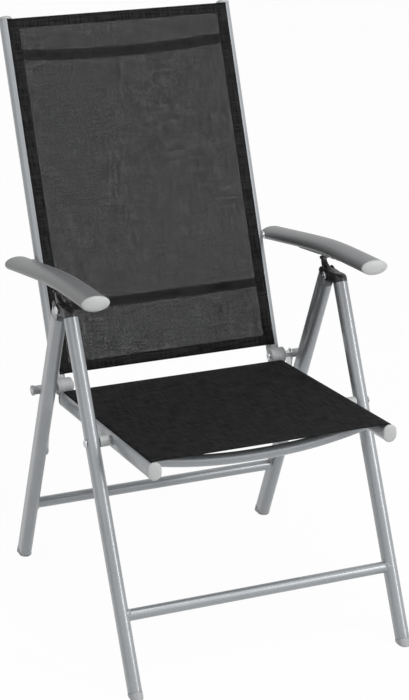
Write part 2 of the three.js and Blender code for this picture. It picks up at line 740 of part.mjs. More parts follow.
// Notch rail: two flanges under the arm with a row of notches above the tongue pin
function notchRail() {
  const lean = QUARTER_TURN - armTilt(TONGUE_PIN[0]);
  const place = (geometry) => solid(placed(geometry, LEG_X, TONGUE_PIN, lean));
  const low = PIN_D / 2 + NOTCH_GAP;
  const from = -NOTCHES_RECLINED * NOTCH_PITCH - NOTCH_RAIL_END;
  const to = NOTCH_RAIL_REAR;
  const length = to - from;
  const strip = new THREE.BoxGeometry(NOTCH_RAIL_W, 2 * NOTCH_RAIL_H, length)
    .translate(0, -low - NOTCH_RAIL_H, (from + to) / 2);
  const slot = new THREE.BoxGeometry(TONGUE_T + 2 * TONGUE_PLAY, 6 * NOTCH_RAIL_H, length - NOTCH_RAIL_END)
    .translate(0, 0, (from + to) / 2);
  const arm = armTube(ARM_W + 2 * FIT, ARM_H + 2 * FIT, 0, ARM_REAR_Y, ARM_FRONT_Y, ARM_STEPS);
  const notch = rod(PIN_D + 2 * NOTCH_PLAY, -NOTCH_RAIL_W, NOTCH_RAIL_W);
  const cuts = [place(slot), arm];
  for (let i = -NOTCHES_RECLINED; i <= 0; i += 1) {
    cuts.push(place(notch.clone().translate(0, -low, i * NOTCH_PITCH)));
  }
  return cut(place(strip), ...cuts);
}

const armBoltIn = RAIL_X - BACK_RAIL_W / 2 - FIT;
const armBoltOut = RAIL_X + BACK_RAIL_W / 2 + FIT;
const armPivotBolt = solid(turned([
  ...innerHead(armBoltIn, BOLT_HEAD_D, BOLT_HEAD_H),
  [armBoltIn, BOLT_D / 2],
  [armBoltOut, BOLT_D / 2],
  [armBoltOut, SHOULDER_D / 2],
  [LEG_X - ARM_W / 2 - FIT, SHOULDER_D / 2],
  [LEG_X - ARM_W / 2 - FIT, BOLT_D / 2],
  [LEG_X - ARM_W / 2 + ARM_BOLT_REACH, BOLT_D / 2],
  [LEG_X - ARM_W / 2 + ARM_BOLT_REACH, 0],
]).translate(0, ...ARM_PIVOT));

// Slings: cloth stretched across the faces of the rails, a little slack in the middle
function sling(half, reach, sag, from, to, place) {
  const shape = new THREE.Shape();
  shape.moveTo(-half, -reach);
  shape.quadraticCurveTo(0, -reach + 2 * sag, half, -reach);
  shape.lineTo(half, -reach - SLING_T);
  shape.quadraticCurveTo(0, -reach - SLING_T + 2 * sag, -half, -reach - SLING_T);
  shape.closePath();
  const geometry = new THREE.ExtrudeGeometry(shape, {
    depth: to - from,
    curveSegments: SLING_STEPS,
    bevelEnabled: false,
  });
  return solid(place(geometry.translate(0, 0, from), 0));
}
const slingHalf = RAIL_X + SLING_EDGE;
const seatReach = SEAT_RAIL_D / 2 + FIT;
const backReach = BACK_RAIL_D / 2 + FIT;
const barrelGap = solid(new THREE.BoxGeometry(2 * (BARREL_IN - SLING_ROOM), BIG, BIG)
  .translate(0, ...HINGE));
const seatCloth = (to) => sling(
  slingHalf, seatReach, SEAT_SLING_SAG, SEAT_SLING_INSET - SEAT_FRONT, to, seatPlaced,
);
const seatSling = join(
  seatCloth(SEAT_SLING_REAR),
  seatCloth(SEAT_SLING_TAIL).intersect(barrelGap),
);
const backSling = sling(
  slingHalf, backReach, BACK_SLING_SAG, BACK_SLING_FROM, BACK_RAIL_TO - BACK_SLING_INSET, backPlaced,
);

// Front frame
addPair('front_leg', frontLeg, SILVER);
addPiece('front_crossbar', frontCrossbar, SILVER);
addPair('front_foot', frontFoot.body, FOOT_GREY);
addPair('leg_bracket', legBracket, DARK_PLASTIC);
addPair('seat_pivot_rivet', seatPivotRivet, STEEL);
addPair('seat_spacer', seatSpacer, CAP_GREY);

// Rear frame
addPair('rear_leg', rearLeg, SILVER);
addPiece('rear_crossbar', rearCrossbar, SILVER);
addPair('rear_foot', rearFoot.body, FOOT_GREY);
addPair('leg_pivot_bolt', legPivotBolt, STEEL);

// Seat
addPair('seat_rail', seatRail, SILVER);
addPair('seat_rail_cap', seatRailCap, CAP_GREY);
addPiece('seat_front_bar', seatBar(SEAT_FRONT_BAR_AT, SEAT_FRONT_BAR_SAG), SILVER);
addPiece('seat_rear_bar', seatBar(SEAT_REAR_BAR_AT, SEAT_REAR_BAR_SAG), SILVER);
addPair('seat_knuckle', seatKnuckle, FOOT_GREY);
addPiece('seat_sling', seatSling, MESH_CLOTH);

// Back
addPair('back_rail', backRail, SILVER);
addPair('back_rail_cap', backRailCap, CAP_GREY);
addPiece('back_top_bar', backBar(BACK_TOP_BAR_AT), SILVER);
addPiece('back_lower_bar', backBar(BACK_LOWER_BAR_AT), SILVER);
addPair('back_knuckle', backKnuckle, FOOT_GREY);
addPiece('back_sling', backSling, MESH_CLOTH);

// Hinge, links and arms
addPair('hinge_bolt', hingeBolt, STEEL);
addPair('stop_sleeve', stopSleeve, FOOT_GREY);
addPair('link_strap', linkStrap, STEEL);
addPair('link_rivet', linkRivet, STEEL);
addPair('arm_pivot_bolt', armPivotBolt, STEEL);
addPair('armrest', armrest, SILVER);
addPair('armrest_front_cap', armFrontCap, CAP_GREY);
addPair('armrest_rear_cap', armRearCap, SILVER);
addPair('notch_rail', notchRail(), CAP_GREY);

// The origin is on the floor at the middle of the chair's length
const extent = new THREE.Box3().setFromObject(chair);
chair.position.y = -(extent.min.y + extent.max.y) / 2;
chair.updateMatrixWorld(true);

export default chair;
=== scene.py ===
import json
import math

import bmesh
import bpy
from bmesh.types import BMEdge, BMFace, BMVert
from bpy.props import FloatProperty, FloatVectorProperty, PointerProperty
from mathutils import Matrix, Vector


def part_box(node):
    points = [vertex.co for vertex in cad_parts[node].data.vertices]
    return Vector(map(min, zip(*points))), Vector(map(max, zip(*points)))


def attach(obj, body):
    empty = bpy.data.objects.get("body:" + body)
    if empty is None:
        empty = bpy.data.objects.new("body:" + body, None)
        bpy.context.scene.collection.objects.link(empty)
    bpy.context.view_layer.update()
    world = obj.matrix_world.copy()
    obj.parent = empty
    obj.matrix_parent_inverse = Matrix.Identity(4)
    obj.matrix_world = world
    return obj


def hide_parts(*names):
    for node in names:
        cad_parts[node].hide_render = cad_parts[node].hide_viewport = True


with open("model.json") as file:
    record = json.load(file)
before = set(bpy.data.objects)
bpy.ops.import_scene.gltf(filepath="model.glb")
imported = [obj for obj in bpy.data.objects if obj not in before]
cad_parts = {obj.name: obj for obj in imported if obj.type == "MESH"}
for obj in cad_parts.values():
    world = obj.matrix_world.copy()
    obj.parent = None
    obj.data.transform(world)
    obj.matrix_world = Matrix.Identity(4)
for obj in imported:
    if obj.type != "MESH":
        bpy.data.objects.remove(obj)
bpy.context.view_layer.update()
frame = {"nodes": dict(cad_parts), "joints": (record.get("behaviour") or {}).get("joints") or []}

bl_info = {
    "name": "Folding Garden Chair",
    "version": (1, 0, 0),
    "blender": (4, 5, 0),
    "location": "View3D > Sidebar > Chair",
    "description": "Dresses the frame of a folding high-back garden chair with tubes, slings and fittings",
    "category": "Object",
}

PIVOTS = {joint["name"]: Vector(joint["pos_m"]) for joint in frame["joints"]}
SEAT_PIVOT = PIVOTS["seat_fold"]
LEG_PIVOT = PIVOTS["leg_spread"]
HINGE = PIVOTS["link_swing"]
ARM_PIVOT = PIVOTS["arm_fold"]
SIDES = (("R", 1), ("L", -1))

# Fixed measures, in metres. Clearance, and the radii and heads of bolts and rivets
GAP = 0.0003
BOLT = 0.0045
RIVET = 0.004
BORE = 0.0048
COLLAR = 0.007
COLLAR_EDGE = 0.0004
BOLT_HEAD = 0.015
BOLT_HEAD_HEIGHT = 0.003
RIVET_HEAD = 0.016
RIVET_HEAD_HEIGHT = 0.002
RIVET_DOME_HEIGHT = 0.004
KEY_RECESS = 0.0026
KEY_RECESS_RIM = 0.0031

# Legs: foot caps, the fork at the top of the rear legs and the groove pressed into them
REAR_FOOT_BEHIND_PIVOT = 0.3126
FOOT_CAP_HEEL = 0.0035
FOOT_CAP_PROUD = 0.0010
SOLE_ROUNDING = 0.0035
FORK_DEPTH = 0.019
CHEEK = 0.0019
REAR_HEAD_HALF = 0.0135
GROOVE_HALF = 0.0075
GROOVE_DEPTH = 0.0028
GROOVE_LENGTH = 0.170
GROOVE_FADE = 0.150

# Leg heads: the slant of the top, the lug round the leg pivot, the tongue and its pin
HEAD_SLANT = 0.42
HEAD_SLANT_FROM = 0.011
LUG_RADIUS = 0.012
LUG_CLEAR = 0.0022
TONGUE_HALF = 0.0045
TONGUE_TIP = 0.004
PIN_FROM_PIVOT = (0.029, 0.0266)
PIN_END = ((-0.00775, 0), (-0.00775, 0.0026), (-0.0073, 0.003))

# Hinge barrels, link straps and the peg behind the rear leg
BARREL_INWARDS = 0.0022
BARREL_HALF = 0.0155
BARREL_CLEAR = 0.0008
STRAP_CLEAR = 0.0006
STRAP_THICK = 0.0027
STRAP_HALF = 0.011
PEG_OUT = 0.0205

# Seat rail: the flat pressed round the pivot, with the share of its length at full depth
FLAT_HALF_LENGTH = 0.034
FLAT_DEPTH = 0.0035
FLAT_FULL = 0.62

# Bars under the seat: place along the rail and bow. Bars behind the back: place, thickness and droop
SEAT_BARS = (("seat_front_bar", -0.117, 0.0255), ("seat_rear_bar", 0.205, 0.020))
SEAT_BAR_THICK = 0.022
SEAT_BAR_OFFSET = 0.004
BACK_BARS = (("back_top_bar", 0.645, 0.021, 0.005), ("back_lower_bar", 0.1515, 0.019, 0.0))
BACK_BAR_OFFSET = 0.002
BACK_BAR_BOW = 0.026
BAR_FULLNESS = 2.2

# Back and armrests, measured from their pivots
BACK_AXIS_OFFSET = 0.020061
ARM_BEND_BEFORE_PIVOT = 0.253
ARM_LENGTH_BEFORE_PIVOT = 0.435971
ARM_LENGTH_BEHIND_PIVOT = 0.011029
ARM_PLUG_STRAIGHT = 0.003

# Slings: wraps in degrees, the edges along the rails, and the tail between the rails behind the seat
SEAT_WRAP = 22
BACK_WRAP = 3
WRAP_RADIUS = 0.0125
CLOTH_LIFT = 0.0006
CLOTH_EDGE = 0.0005
BACK_CLOTH_FROM = 0.023
SEAT_SIDE_END = 0.268
SEAT_TAIL = 0.2765
SEAT_TAIL_HALF = 0.200
HEM_INSET = 0.0062
HEM_BEHIND = 0.0008

# Rounded ends of tubes: distance past the end, and scale of the section there
SEAT_PLUG = (
    (GAP, 0.96), (0.0007, 1), (0.0028, 1), (0.0038, 0.94), (0.0047, 0.80), (0.0053, 0.55), (0.0055, 0.25),
)
BACK_PLUG = (
    (GAP, 0.96), (0.0007, 1), (0.0030, 1), (0.0048, 0.93), (0.0062, 0.78), (0.0070, 0.52), (0.0073, 0.2),
)
LEG_HEAD = ((GAP, 0.985), (0.001, 1), (0.0125, 1), (0.0150, 0.95), (0.0170, 0.80), (0.0180, 0.66))
SEAT_KNUCKLE = ((GAP, 0.97), (0.0010, 1), (0.010, 1), (0.014, 0.92), (0.018, 0.70))
BACK_KNUCKLE = ((0.020, 0.75), (0.017, 0.93), (0.014, 1), (0.0010, 1), (GAP, 0.97))

# Halves of the hinge barrel: distance outwards from the parting, and depth below the full radius
BACK_BARREL = (
    (-0.0155, 0.0030), (-0.0148, 0.0014), (-0.0136, 0.0004), (-0.0120, 0), (-0.0070, 0),
    (-0.0066, 0.0006), (-0.0058, 0.0006), (-0.0054, 0), (-0.00015, 0),
)
SEAT_BARREL = (
    (0.00015, 0), (0.0105, 0), (0.0109, 0.0007), (0.0119, 0.0007), (0.0123, 0.0002),
    (0.0148, 0.0004), (0.0155, 0.0012),
)

# Weld fillet: distance from the leg's face, and height over the crossbar
WELD = (
    (0.004, -0.0004), (-0.0032, -0.0002), (-0.0020, 0.0008),
    (-0.0006, 0.0020), (0.0005, 0.0034), (0.004, 0.0030),
)

# Angles in degrees above which an edge stays sharp
TUBE_SHARP = 38
PLUG_SHARP = 50
CLOTH_SHARP = 180

# Lamps: place, width, and height of the upright one. Camera: its place
LAMPS = (
    ("key", (2.2, -3.2, 2.2), 0.6, 2.2),
    ("fill", (-2.8, -1.6, 2.0), 2.0, None),
    ("top", (0.3, -1.5, 3.4), 1.6, None),
)
LAMP_AIM = Vector((0, 0, 0.5))
CAMERA_PLACE = Vector((-1.35301, LEG_PIVOT.y - 3.32501, 1.78541))
FLOOR_HALF = 30
FLOOR_WHITE = 0.97
WHITE = (1, 1, 1, 1)


def number(name, default, description, unit="NONE"):
    """A plain value."""
    return FloatProperty(name=name, description=description, default=default, unit=unit)


def length(name, default, description):
    """A size in metres."""
    return FloatProperty(name=name, description=description, default=default, unit="LENGTH", precision=4)


def angle(name, degrees, description):
    """An angle, given in degrees and kept in radians."""
    return FloatProperty(
        name=name, description=description, default=math.radians(degrees), subtype="ANGLE", unit="ROTATION"
    )


def colour(name, default, description):
    """A surface colour."""
    return FloatVectorProperty(
        name=name, description=description, default=default, size=3, subtype="COLOR", min=0, max=1
    )


class ChairFrameSizes(bpy.types.PropertyGroup):
    """Sizes of the tubes and fittings"""

    leg_x: length("Leg plane", 0.2695, "Distance of the legs from the middle of the chair")
    rail_x: length("Rail plane", 0.2267, "Distance of the seat and back rails from the middle")
    front_lean: angle("Front leg lean", 25.94, "Lean of the front legs to the rear")
    rear_lean: angle("Rear leg lean", 25.53, "Lean of the rear legs to the front")
    front_leg_width: length("Front leg width", 0.0245, "Width of the front leg tube")
    front_leg_depth: length("Front leg depth", 0.031, "Depth of the front leg tube")
    front_leg_top: length("Front leg top", 0.624, "Height of the top of the front leg tube")
    rear_leg_width: length("Rear leg width", 0.024, "Width of the rear leg tube")
    rear_leg_depth: length("Rear leg depth", 0.038, "Depth of the rear leg tube")
    crossbar: length("Crossbar diameter", 0.022, "Diameter of the round crossbars")
    seat_rise: angle("Seat rise", 4.25, "Rise of the seat to the front")
    seat_rail_width: length("Seat rail width", 0.025, "Width of the seat rail tube")
    seat_rail_depth: length("Seat rail depth", 0.032, "Depth of the seat rail tube")
    seat_front: length("Seat front", 0.200, "Seat rail in front of the seat pivot")
    seat_rear: length("Seat rear", 0.273, "Seat rail behind the seat pivot")
    back_lean: angle("Back lean", 21.75, "Lean of the back when upright")
    back_rail_width: length("Back rail width", 0.0243, "Width of the back rail tube")
    back_rail_depth: length("Back rail depth", 0.0264, "Depth of the back rail tube")
    back_from: length("Back rail foot", 0.026, "Start of the back rail above the hinge")
    back_to: length("Back rail top", 0.7115, "End of the back rail above the hinge")
    barrel: length("Hinge barrel", 0.032, "Diameter of the hinge barrel")
    arm_width: length("Armrest width", 0.052, "Width of the armrest")
    arm_height: length("Armrest height", 0.027, "Height of the armrest")
    arm_rear_rise: angle("Armrest rear rise", 9.76, "Rise of the rear run of the armrest to the front")
    arm_front_rise: angle("Armrest front rise", 2.95, "Rise of the front run of the armrest")
    arm_bend: length("Armrest bend", 0.06, "Length of the bend between the runs of the armrest")


class ChairClothSizes(bpy.types.PropertyGroup):
    """Sizes of the two slings"""

    thickness: length("Cloth thickness", 0.0003, "Thickness of the mesh cloth")
    pitch: length("Weave pitch", 0.0014, "Distance between the yarns")
    side_hem: length("Side hem", 0.0215, "Width of the sewn side hems of the back")
    top_hem: length("Top hem", 0.0195, "Width of the sewn top hem of the back")
    bottom_hem: length("Bottom hem", 0.0205, "Width of the sewn bottom hem of the back")
    seat_sag: length("Seat slack", 0.006, "Dip of the seat cloth between the rails")
    back_sag: length("Back slack", 0.007, "Dip of the back cloth between the rails")


class ChairFinishes(bpy.types.PropertyGroup):
    """Colours of the finishes"""

    silver: colour("Silver coat", (0.31, 0.325, 0.34), "Powder coat of the tubes")
    arm: colour("Armrest coat", (0.175, 0.178, 0.182), "Satin grey of the armrests")
    foot: colour("Foot grey", (0.40, 0.41, 0.42), "Grey plastic of the foot caps")
    cap: colour("Cap grey", (0.48, 0.49, 0.49), "Light grey plastic caps")
    hinge: colour("Hinge grey", (0.43, 0.44, 0.45), "Grey plastic of the hinge barrels")
    dark: colour("Bracket black", (0.012, 0.012, 0.013), "Black plastic of the leg heads")
    steel: colour("Zinc steel", (0.55, 0.56, 0.57), "Bolts, rivets and links")
    cloth: colour("Mesh cloth", (0.0140, 0.0140, 0.0144), "Yarn of the slings")
    floor: colour("Floor", (0.90, 0.90, 0.90), "Pale studio floor")


class ChairStage(bpy.types.PropertyGroup):
    """Camera and lamps"""

    yaw: angle("Yaw", -22.26, "Turn of the camera about the vertical")
    pitch: angle("Pitch", -22.96, "Tilt of the camera")
    roll: angle("Roll", -0.25, "Roll of the camera")
    lens: number("Lens", 103.43, "Focal length", "CAMERA")
    shift: number("Shift", 0.1714, "Vertical shift of the picture")
    key: number("Key lamp", 66.0, "Power of the key lamp", "POWER")
    top: number("Top lamp", 42.0, "Power of the lamp overhead", "POWER")
    fill: number("Fill lamp", 9.0, "Power of the fill lamp", "POWER")
    world: number("World", 0.32, "Strength of the surrounding light")


def sizes():
    return bpy.context.scene.chair_sizes


def cloth_sizes():
    return bpy.context.scene.chair_cloth


def finishes():
    return bpy.context.scene.chair_finishes


# Places in the chair


def middle(node_name):
    """The middle of a CAD node's box."""
    low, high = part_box(node_name)
    return (low + high) / 2


def beside(x, width):
    """The two planes just clear of a tube, inside and outside."""
    return x - width / 2 - GAP, x + width / 2 + GAP


def leg_section(kind):
    """Width and depth of the front or rear leg tube."""
    return getattr(sizes(), f"{kind}_leg_width"), getattr(sizes(), f"{kind}_leg_depth")


def front_leg_length():
    """Length of the front leg's axis from the floor to the top of its tube."""
    return sizes().front_leg_top / math.cos(sizes().front_lean)


def barrel_middle():
    """The plane that parts the two halves of a hinge barrel."""
    return sizes().rail_x - BARREL_INWARDS


def strap_faces():
    """The inner and outer plane of the link straps, just inside the legs."""
    s = sizes()
    outer = s.leg_x - max(s.front_leg_width, s.rear_leg_width) / 2 - STRAP_CLEAR
    return outer - STRAP_THICK, outer


# Frames along the tubes: local Z runs along the tube, X stays across the chair


def lean_frame(x, y, z, lean):
    return Matrix.Translation((x, y, z)) @ Matrix.Rotation(-lean, 4, "X")


def front_leg_frame(x):
    lean = sizes().front_lean
    return lean_frame(x, SEAT_PIVOT.y - SEAT_PIVOT.z * math.tan(lean), 0, lean)


def rear_leg_frame(x):
    return lean_frame(x, LEG_PIVOT.y + REAR_FOOT_BEHIND_PIVOT, 0, -sizes().rear_lean)


def seat_frame(x):
    return lean_frame(x, SEAT_PIVOT.y, SEAT_PIVOT.z, math.pi / 2 + sizes().seat_rise)


def back_frame(x):
    """The back rail's axis, measured from the point beside the hinge."""
    lean = sizes().back_lean
    aside = BACK_AXIS_OFFSET
    return lean_frame(x, HINGE.y + aside * math.cos(lean), HINGE.z - aside * math.sin(lean), lean)


def arm_past_bend(y):
    """How far a place lies in front of the armrest's bend, eased over the bend."""
    ahead = ARM_PIVOT.y - ARM_BEND_BEFORE_PIVOT - y
    return (ahead + math.hypot(ahead, sizes().arm_bend)) / 2


def arm_height_at(y):
    """Height of the armrest's axis: two straight runs, joined by a long bend."""
    rear, front = math.tan(sizes().arm_rear_rise), math.tan(sizes().arm_front_rise)
    bent = arm_past_bend(y) - arm_past_bend(ARM_PIVOT.y)
    return ARM_PIVOT.z + rear * (ARM_PIVOT.y - y) - (rear - front) * bent


def arm_frame(x, y):
    """Local Z runs to the rear along the armrest."""
    step = 0.001
    slope = math.atan((arm_height_at(y + step) - arm_height_at(y - step)) / (2 * step))
    return lean_frame(x, y, arm_height_at(y), math.pi / 2 - slope)


# Mesh helpers


def spaced(low, high, count):
    """Evenly spaced stations from low to high."""
    return [low + (high - low) * i / count for i in range(count + 1)]


def ring_edges(verts):
    """The edges between a ring's vertices, in a fixed order."""
    return list(dict.fromkeys(edge for vert in verts for edge in vert.link_edges))


def only(geometry, kind):
    """The vertices, edges or faces among mixed geometry."""
    return [element for element in geometry if isinstance(element, kind)]


def oval_ring(bm, width, depth, segments=40, flat_cuts=0):
    """A ring with two flat sides: width along X, depth along Y."""
    turn = Matrix.Rotation(math.pi / segments, 4, "Z")
    radius = width / 2 / math.cos(math.pi / segments)
    verts = bmesh.ops.create_circle(bm, segments=segments, radius=radius, matrix=turn)["verts"]
    half = (depth - width) / 2
    bmesh.ops.translate(bm, verts=[v for v in verts if v.co.y > 0], vec=(0, half, 0))
    bmesh.ops.translate(bm, verts=[v for v in verts if v.co.y < 0], vec=(0, -half, 0))
    edges = ring_edges(verts)
    if flat_cuts:
        flats = [e for e in edges if (e.verts[0].co.y > 0) != (e.verts[1].co.y > 0)]
        bmesh.ops.subdivide_edges(bm, edges=flats, cuts=flat_cuts)
        edges = [e for e in bm.edges if e.is_wire]
    return edges


def ellipse_ring(bm, width, depth, segments=48):
    """An ellipse: width along X, depth along Y."""
    verts = bmesh.ops.create_circle(bm, segments=segments, radius=0.5)["verts"]
    bmesh.ops.scale(bm, verts=verts, vec=(width, depth, 1))
    return ring_edges(verts)


def pull(bm, edges, matrix):
    """Extrudes a ring of edges and moves the new ring."""
    made = bmesh.ops.extrude_edge_only(bm, edges=edges)["geom"]
    bmesh.ops.transform(bm, matrix=matrix, verts=only(made, BMVert))
    return only(made, BMEdge)


def loft(bm, edges, frames):
    """Pulls a ring, drawn flat at the origin, through a row of frames, and closes both ends."""
    verts = list(dict.fromkeys(vert for edge in edges for vert in edge.verts))
    bmesh.ops.transform(bm, matrix=frames[0], verts=verts)
    bmesh.ops.contextual_create(bm, geom=edges)
    for before, after in zip(frames, frames[1:]):
        edges = pull(bm, edges, after @ before.inverted())
    bmesh.ops.contextual_create(bm, geom=edges)


def along(frame_at, *stations):
    """Frames at stations along a tube, each a distance or a (distance, scale) pair."""
    frames = []
    for station in stations:
        at, grow = station if isinstance(station, tuple) else (station, 1.0)
        frames.append(frame_at @ Matrix.Translation((0, 0, at)) @ Matrix.Diagonal((grow, grow, 1, 1)))
    return frames


def plug(bm, place, width, depth, end, way, rounding):
    """A rounded block past the end of an oval tube, or before it when way is -1."""
    ring = oval_ring(bm, width, depth)
    loft(bm, ring, along(place, *[(end + way * at, grow) for at, grow in rounding]))


def turned(bm, profile, centre, side=1, steps=40):
    """Spins (along X, radius) points about an axis along X through a centre."""
    verts = [bm.verts.new((side * x, centre.y + radius, centre.z)) for x, radius in profile]
    edges = [bm.edges.new(pair) for pair in zip(verts, verts[1:])]
    bmesh.ops.spin(
        bm, geom=verts + edges, cent=(0, centre.y, centre.z), axis=(1, 0, 0),
        angle=2 * math.pi, steps=steps, use_merge=True,
    )


def arc(centre, radius, start, end, steps=10):
    """Points (y, z) on an arc in the side plane, angles in degrees from +Y."""
    turns = [math.radians(degrees) for degrees in spaced(start, end, steps)]
    return [(centre[0] + radius * math.cos(at), centre[1] + radius * math.sin(at)) for at in turns]


def curve_points(start, control, end, steps):
    """Points after the start on a curve towards the end."""
    points = []
    for i in range(1, steps + 1):
        t = i / steps
        a, b, c = (1 - t) ** 2, 2 * t * (1 - t), t ** 2
        points.append(tuple(a * p + b * q + c * r for p, q, r in zip(start, control, end)))
    return points


def soften(bm, edges, width, segments):
    """Rounds edges over a width."""
    bmesh.ops.bevel(
        bm, geom=edges, offset=width, offset_type="OFFSET", affect="EDGES",
        segments=segments, profile=0.5, material=-1,
    )


def plate(bm, outline, low, high, bevel, segments=3):
    """A side-plane outline between two X planes, with its edges rounded."""
    face = bm.faces.new([bm.verts.new((low, y, z)) for y, z in outline])
    rim = list(face.edges)
    made = bmesh.ops.extrude_face_region(bm, geom=[face])["geom"]
    bmesh.ops.translate(bm, verts=only(made, BMVert), vec=(high - low, 0, 0))
    far = only(made, BMFace)[0]
    soften(bm, rim + list(far.edges), bevel, segments)


def slice_off(bm, point, normal, **clear):
    """Cuts everything on one side of a plane away, and closes the cut."""
    everything = bm.verts[:] + bm.edges[:] + bm.faces[:]
    cut = bmesh.ops.bisect_plane(bm, geom=everything, plane_co=point, plane_no=normal, **clear)["geom_cut"]
    return bmesh.ops.contextual_create(bm, geom=only(cut, BMEdge))["faces"]


def merge_into(bm, other):
    """Adds another bmesh's shells to this one."""
    mesh = bpy.data.meshes.new("part")
    other.to_mesh(mesh)
    other.free()
    bm.from_mesh(mesh)
    bpy.data.meshes.remove(mesh)


def make_piece(name, bm, body, finish, replaces=(), sharp=TUBE_SHARP):
    """Turns a finished bmesh into a piece that rides on a body."""
    bmesh.ops.remove_doubles(bm, verts=bm.verts, dist=1e-6)
    bmesh.ops.recalc_face_normals(bm, faces=bm.faces)
    for face in bm.faces:
        face.smooth = True
    mesh = bpy.data.meshes.new(name)
    bm.to_mesh(mesh)
    bm.free()
    mesh.set_sharp_from_angle(angle=math.radians(sharp))
    mesh.materials.append(look(finish))
    piece = bpy.data.objects.new(name, mesh)
    bpy.context.scene.collection.objects.link(piece)
    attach(piece, body)
    if replaces:
        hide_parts(*replaces)
    return piece


# Materials


def node(tree, kind, inputs=None, **settings):
    """A shader node with its settings and the values of its inputs."""
    made = tree.nodes.new(kind)
    for key, value in settings.items():
        setattr(made, key, value)
    for socket_name, value in (inputs or {}).items():
        made.inputs[socket_name].default_value = value
    return made


def wire(tree, *pairs):
    """Links outputs to inputs."""
    for output, entry in pairs:
        tree.links.new(output, entry)


def maths(tree, operation, *values):
    """The result of a sum on numbers and other nodes' outputs."""
    made = node(tree, "ShaderNodeMath", operation=operation)
    for entry, value in zip(made.inputs, values):
        if isinstance(value, bpy.types.NodeSocket):
            tree.links.new(value, entry)
        else:
            entry.default_value = value
    return made.outputs[0]


def two_tone(tree, *stops):
    """A ramp between two (position, colour) stops."""
    ramp = node(tree, "ShaderNodeValToRGB")
    for element, (position, tone) in zip(ramp.color_ramp.elements, stops):
        element.position = position
        element.color = tone
    return ramp


def blank_material(name):
    """A material with a bare Principled shader."""
    material = bpy.data.materials.new(name)
    material.use_nodes = True
    tree = material.node_tree
    return material, tree, tree.nodes["Principled BSDF"]


def rgba(colour_value, gain=1.0):
    return tuple(min(1.0, channel * gain) for channel in colour_value) + (1.0,)


def solid_finish(base, name, gains, patches, grains, rough, strength, coat):
    """Colour that drifts in patches between two gains, with a fine grain in roughness and bump."""
    material, tree, shader = blank_material(name)
    place = node(tree, "ShaderNodeTexCoord").outputs["Object"]
    patch = node(tree, "ShaderNodeTexNoise", inputs={"Scale": patches, "Detail": 3.0, "Roughness": 0.6})
    ramp = two_tone(tree, (0.32, rgba(base, gains[0])), (0.68, rgba(base, gains[1])))
    grain = node(tree, "ShaderNodeTexNoise", inputs={"Scale": grains, "Detail": 4.0, "Roughness": 0.55})
    spread = node(tree, "ShaderNodeMapRange", inputs={"To Min": rough[0], "To Max": rough[1]})
    bump = node(tree, "ShaderNodeBump", inputs={"Strength": strength, "Distance": 0.0003})
    wire(
        tree,
        (place, patch.inputs["Vector"]),
        (patch.outputs["Fac"], ramp.inputs["Fac"]),
        (ramp.outputs["Color"], shader.inputs["Base Color"]),
        (place, grain.inputs["Vector"]),
        (grain.outputs["Fac"], spread.inputs["Value"]),
        (spread.outputs["Result"], shader.inputs["Roughness"]),
        (grain.outputs["Fac"], bump.inputs["Height"]),
        (bump.outputs["Normal"], shader.inputs["Normal"]),
    )
    for socket_name, value in coat.items():
        shader.inputs[socket_name].default_value = value
    return material


def cloth_cell(tree, uv, axis, pitch):
    """Distance from the middle of a weave cell along one UV axis, 0 to 0.5."""
    split = node(tree, "ShaderNodeSeparateXYZ")
    wire(tree, (uv, split.inputs["Vector"]))
    part = maths(tree, "FRACT", maths(tree, "DIVIDE", split.outputs[axis], pitch))
    return maths(tree, "ABSOLUTE", maths(tree, "SUBTRACT", part, 0.5))


def slub(tree, uv, scale):
    """Uneven thickness along the yarns of one direction."""
    streak = node(tree, "ShaderNodeMapping", inputs={"Scale": scale})
    noise = node(tree, "ShaderNodeTexNoise", inputs={"Scale": 1.0, "Detail": 1.0})
    wire(tree, (uv, streak.inputs["Vector"]), (streak.outputs["Vector"], noise.inputs["Vector"]))
    return noise.outputs["Fac"]


def mesh_cloth(name, gain, hole):
    """Coated polyester mesh: round yarns both ways, with a small open hole in each cell."""
    material, tree, shader = blank_material(name)
    uv = node(tree, "ShaderNodeTexCoord").outputs["UV"]
    pitch, yarn = cloth_sizes().pitch, finishes().cloth
    crown = maths(tree, "MAXIMUM", cloth_cell(tree, uv, 0, pitch), cloth_cell(tree, uv, 1, pitch))
    slubs = maths(tree, "ADD", slub(tree, uv, (420.0, 24.0, 1.0)), slub(tree, uv, (20.0, 420.0, 1.0)))
    ramp = two_tone(tree, (0.75, rgba(yarn, 0.75 * gain)), (1.0, rgba(yarn, 1.9 * gain)))
    bump = node(tree, "ShaderNodeBump", inputs={"Strength": 0.5, "Distance": 0.0004})
    wire(
        tree,
        (maths(tree, "MULTIPLY", slubs, 0.9), ramp.inputs["Fac"]),
        (ramp.outputs["Color"], shader.inputs["Base Color"]),
        (crown, bump.inputs["Height"]),
        (bump.outputs["Normal"], shader.inputs["Normal"]),
    )
    shader.inputs["Roughness"].default_value = 0.7
    shader.inputs["Specular IOR Level"].default_value = 0.02
    if hole:
        reach = {"From Min": 0.75, "From Max": 1.25, "To Min": hole * 1.28, "To Max": hole * 0.72}
        opening = node(tree, "ShaderNodeMapRange", inputs=reach)
        wire(tree, (slubs, opening.inputs["Value"]))
        solid = maths(tree, "GREATER_THAN", crown, opening.outputs["Result"])
        wire(tree, (solid, shader.inputs["Alpha"]))
    return material


